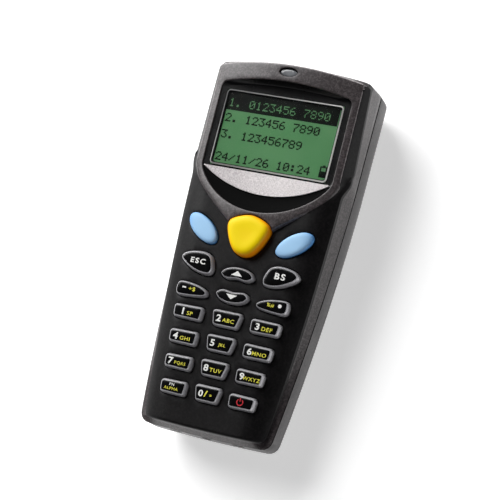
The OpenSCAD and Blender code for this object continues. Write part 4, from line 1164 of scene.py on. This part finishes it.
# ---- Seal and screws ----
# A round cord of foam rubber lies in a groove of the parting line. The pan head screws are steel,
# nickel plated, so they are bright and only slightly uneven.
def varied(name, dark, light, roughness, metallic=0.0, size=2.0, **more):
    """A finish of an inner part: its colour and roughness drift a little over size mm, and its
    surface is slightly uneven."""
    gloss = (roughness - 0.06, roughness + 0.06)
    return mottled(name, size, 3.0, (dark, light), gloss, True, Metallic=metallic, **more)


def dress(material, *nodes):
    """Gives the solids of these nodes their material."""
    for node in nodes:
        for slot in frame["nodes"][node].material_slots:
            slot.material = material


steel = varied("Nickel-plated steel", "#b3b4b2", "#d2d2ce", 0.28, 1.0, 1.5)
dress(varied("Foam rubber cord", "#131313", "#1e1e1e", 0.8, 0.0, 0.8), "housing_seal")
dress(steel, "case_screws", "board_screws")

# ---- Display module ----
# Behind the LCD lie an opal acrylic light guide, a pressed steel frame and the flex circuit, of
# amber polyimide, that joins it to the board. The status LED is a white moulded one.
dress(varied("Opal acrylic light guide", "#dfe4cf", "#eef1e2", 0.35, 0.0, 4.0), "backlight_panel")
dress(varied("Pressed tin-plated steel", "#a5a8a8", "#bfc2c1", 0.34, 1.0, 3.0), "lcd_frame")
amber_film = varied("Polyimide flex circuit", "#b9761f", "#d0913a", 0.3, 0.0, 1.0)
dress(amber_film, "lcd_flex", "scan_flex")
dress(varied("Moulded white LED body", "#dedede", "#f0f0ee", 0.4, 0.0, 0.5), "status_led")

# ---- Boards and keypad mat ----
# A glass epoxy board under green solder resist carries black epoxy packages, the buzzer and a
# steel button cell in a brass clip. The keys rest on a grey silicone mat.
dress(varied("Silicone rubber, moulded", "#37373a", "#434347", 0.7, 0.0, 2.0), "keypad_mat")
dress(varied("Glass epoxy board, green resist", "#124a28", "#1d6436", 0.35, 0.0, 1.5), "main_board")
black_resin = varied("Epoxy chip package", "#131315", "#1f1f22", 0.55, 0.0, 0.8)
dress(black_resin, "board_chips", "buzzer", "light_sensor")
dress(steel, "backup_cell")
brass = varied("Brass, turned", "#ad8a3a", "#c7a450", 0.3, 1.0, 1.0)
dress(brass, "backup_cell_clip", "laser_module")

# ---- Scan engine ----
# A die-cast zinc chassis holds the brass laser module, the moving mirror of front-silvered glass
# and its coil of enamelled wire. It looks out through a deep red acrylic window.
dress(varied("Die-cast zinc, bare", "#6a6d71", "#85888c", 0.42, 1.0, 1.2), "scan_chassis")
dress(varied("Front-silvered glass", "#dfe6ea", "#eef3f6", 0.09, 1.0, 3.0), "scan_mirror")
# The coil is ten turns of wire wide, wound on a hollow core that ends clear of the mirror
coil_x, coil_z, coil_back, coil_end, coil_r, core_r = -7.8, 9.0, 37.22, 41.05, 1.94, 0.82
wire_turns, wire_dip = 10, 0.1
wire_w = (coil_end - coil_back) / wire_turns
turns = [(coil_r - (0 if k % 2 else wire_dip), coil_end - wire_w * k / 2) for k in range(2 * wire_turns + 1)]
round_coil = full_turn[::2]
coil_x_z = np.stack([np.cos(round_coil), np.sin(round_coil)], 1)
coil_rings = [np.insert([coil_x, coil_z] + r * coil_x_z, 1, y, 1)
    for r, y in turns + [(core_r, coil_back), (core_r, coil_end)]]
vertices, faces = loft(coil_rings, closed=True)
coil = mesh_object("wound_coil", vertices, faces)
coil.data.materials.append(varied("Enamelled copper wire", "#9a5120", "#b5682f", 0.3, 1.0, 0.4))
smooth(coil, 30)
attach(coil, "case")
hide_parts("mirror_coil")
dress(varied("Deep red acrylic, polished", "#4a0810", "#64121c", 0.1, 0.0, 6.0, Transmission_Weight=0.5,
    IOR=1.49), "scan_window")
dress(varied("Infrared polycarbonate, nearly black", "#22070c", "#2f0b12", 0.14, 0.0, 2.0, IOR=1.58),
    "ir_window")

# ---- Batteries and contacts ----
# Two cylindrical cells in dark shrink sleeves sit between plated springs and flat contacts. The
# two pads in the foot, for charging, are gold plated.
dress(varied("Shrink sleeve of a cell", "#23262b", "#31353c", 0.3, 0.0, 8.0), "battery_cells")
dress(steel, "battery_contacts", "battery_springs")
dress(varied("Gold-plated contact", "#cba046", "#e3bb64", 0.25, 1.0, 1.0), "charge_contacts")


# ---- Floor, lights and camera ----
# A plain sheet of white paper under soft lamps. The paper and what lies beyond it look white, also
# in gloss and clear plastic, and the paper keeps the terminal's shadow. The ceiling is dark.
def seen_directly(tree):
    """1 for what the camera, gloss and clear plastic see, and 0 for the light that falls on things;
    then the outputs that tell them apart."""
    path = add(tree, "ShaderNodeLightPath").outputs
    either = add(tree, "ShaderNodeMath", {0: path["Is Camera Ray"], 1: path["Is Transmission Ray"]},
        operation="MAXIMUM").outputs[0]
    either = add(tree, "ShaderNodeMath", {0: either, 1: path["Is Glossy Ray"]},
        operation="MAXIMUM").outputs[0]
    return either, path


paper_half, paper_top = 3, -0.0002
paper_corners = [(x * paper_half, y * paper_half, paper_top) for x, y in ((-1, -1), (1, -1), (1, 1), (-1, 1))]
floor_mesh = mesh_object("studio_floor", paper_corners, [(0, 1, 2, 3)], 1)
floor_paper, tree, shader = finish("White paper", Roughness=0.9, Specular_IOR_Level=0.1,
    Emission_Color=srgb("#ffffff"))
place = add(tree, "ShaderNodeTexCoord").outputs["Object"]
fibre = add(tree, "ShaderNodeTexNoise", {"Vector": place, "Scale": 1 / (1.5 * mm),
    "Detail": 2.0}).outputs["Fac"]
pulp = add(tree, "ShaderNodeValToRGB", {"Fac": fibre}, ((0.3, "#f0f0f0"), (0.7, "#f6f6f6"))).outputs["Color"]
tree.links.new(pulp, shader.inputs["Base Color"])
seen, path = seen_directly(tree)
glow = add(tree, "ShaderNodeMapRange", {"Value": path["Is Glossy Ray"], "To Min": 0.5,
    "To Max": 0.8}).outputs["Result"]
glow = add(tree, "ShaderNodeMath", {0: seen, 1: glow}, operation="MULTIPLY").outputs[0]
tree.links.new(glow, shader.inputs["Emission Strength"])
floor_mesh.data.materials.append(floor_paper)


lit_point = Vector((0, 0, 0.02))


def softbox(name, at, width, height, watts):
    """A large soft lamp at a place, aimed at the terminal."""
    lamp = bpy.data.lights.new(name, "AREA")
    lamp.shape, lamp.size, lamp.size_y, lamp.energy = "RECTANGLE", width, height, watts
    made = linked(name, lamp)
    made.location = at
    made.rotation_euler = (lit_point - Vector(at)).to_track_quat("-Z", "Y").to_euler()


softbox("Key softbox", (-0.75, 0.66, 0.68), 1.0, 1.0, 26.0)
softbox("Fill softbox", (0.9, -0.5, 0.35), 0.5, 0.4, 2.0)
world = bpy.data.worlds.new("Studio")
world.use_nodes = True
bpy.context.scene.world = world
tree = world.node_tree
ground = tree.nodes["Background"]
seen, path = seen_directly(tree)
level = add(tree, "ShaderNodeMapRange", {"Value": seen, "To Min": 0.6, "To Max": 1.0}).outputs["Result"]
direction = add(tree, "ShaderNodeTexCoord").outputs["Generated"]
rise = add(tree, "ShaderNodeSeparateXYZ", {"Vector": direction}).outputs["Z"]
ceiling = add(tree, "ShaderNodeValToRGB", {"Fac": rise},
    ((0.05, "#ffffff"), (0.9, "#2e2e30"), (0.4, "#3c3c3f"))).outputs["Color"]
# Sockets 6 and 7 of a Mix node are its two colours, and output 2 is the colour that it makes
around = add(tree, "ShaderNodeMix", {"Factor": path["Is Camera Ray"], 6: ceiling, 7: srgb("#ffffff")},
    data_type="RGBA").outputs[2]
tree.links.new(around, ground.inputs["Color"])
tree.links.new(level, ground.inputs["Strength"])

focal, sensor_w, near_clip = 118.63, 36.0, 0.01
camera_at = Vector((0.19718, -0.10763, 0.49956))
looks_along = Vector((-0.37361, 0.20417, -0.90484)).normalized()
camera_up = Vector((-0.17735, 0.94176, 0.28572))
camera_right = looks_along.cross(camera_up).normalized()
camera_up = camera_right.cross(looks_along)
lens_data = bpy.data.cameras.new("Camera")
lens_data.lens, lens_data.sensor_width, lens_data.clip_start = focal, sensor_w, near_clip
camera = linked("Camera", lens_data)
camera.matrix_world = Matrix((camera_right, camera_up, -looks_along)).transposed().to_4x4()
camera.location = camera_at
bpy.context.scene.camera = camera
bpy.context.scene.view_settings.view_transform = "Standard"
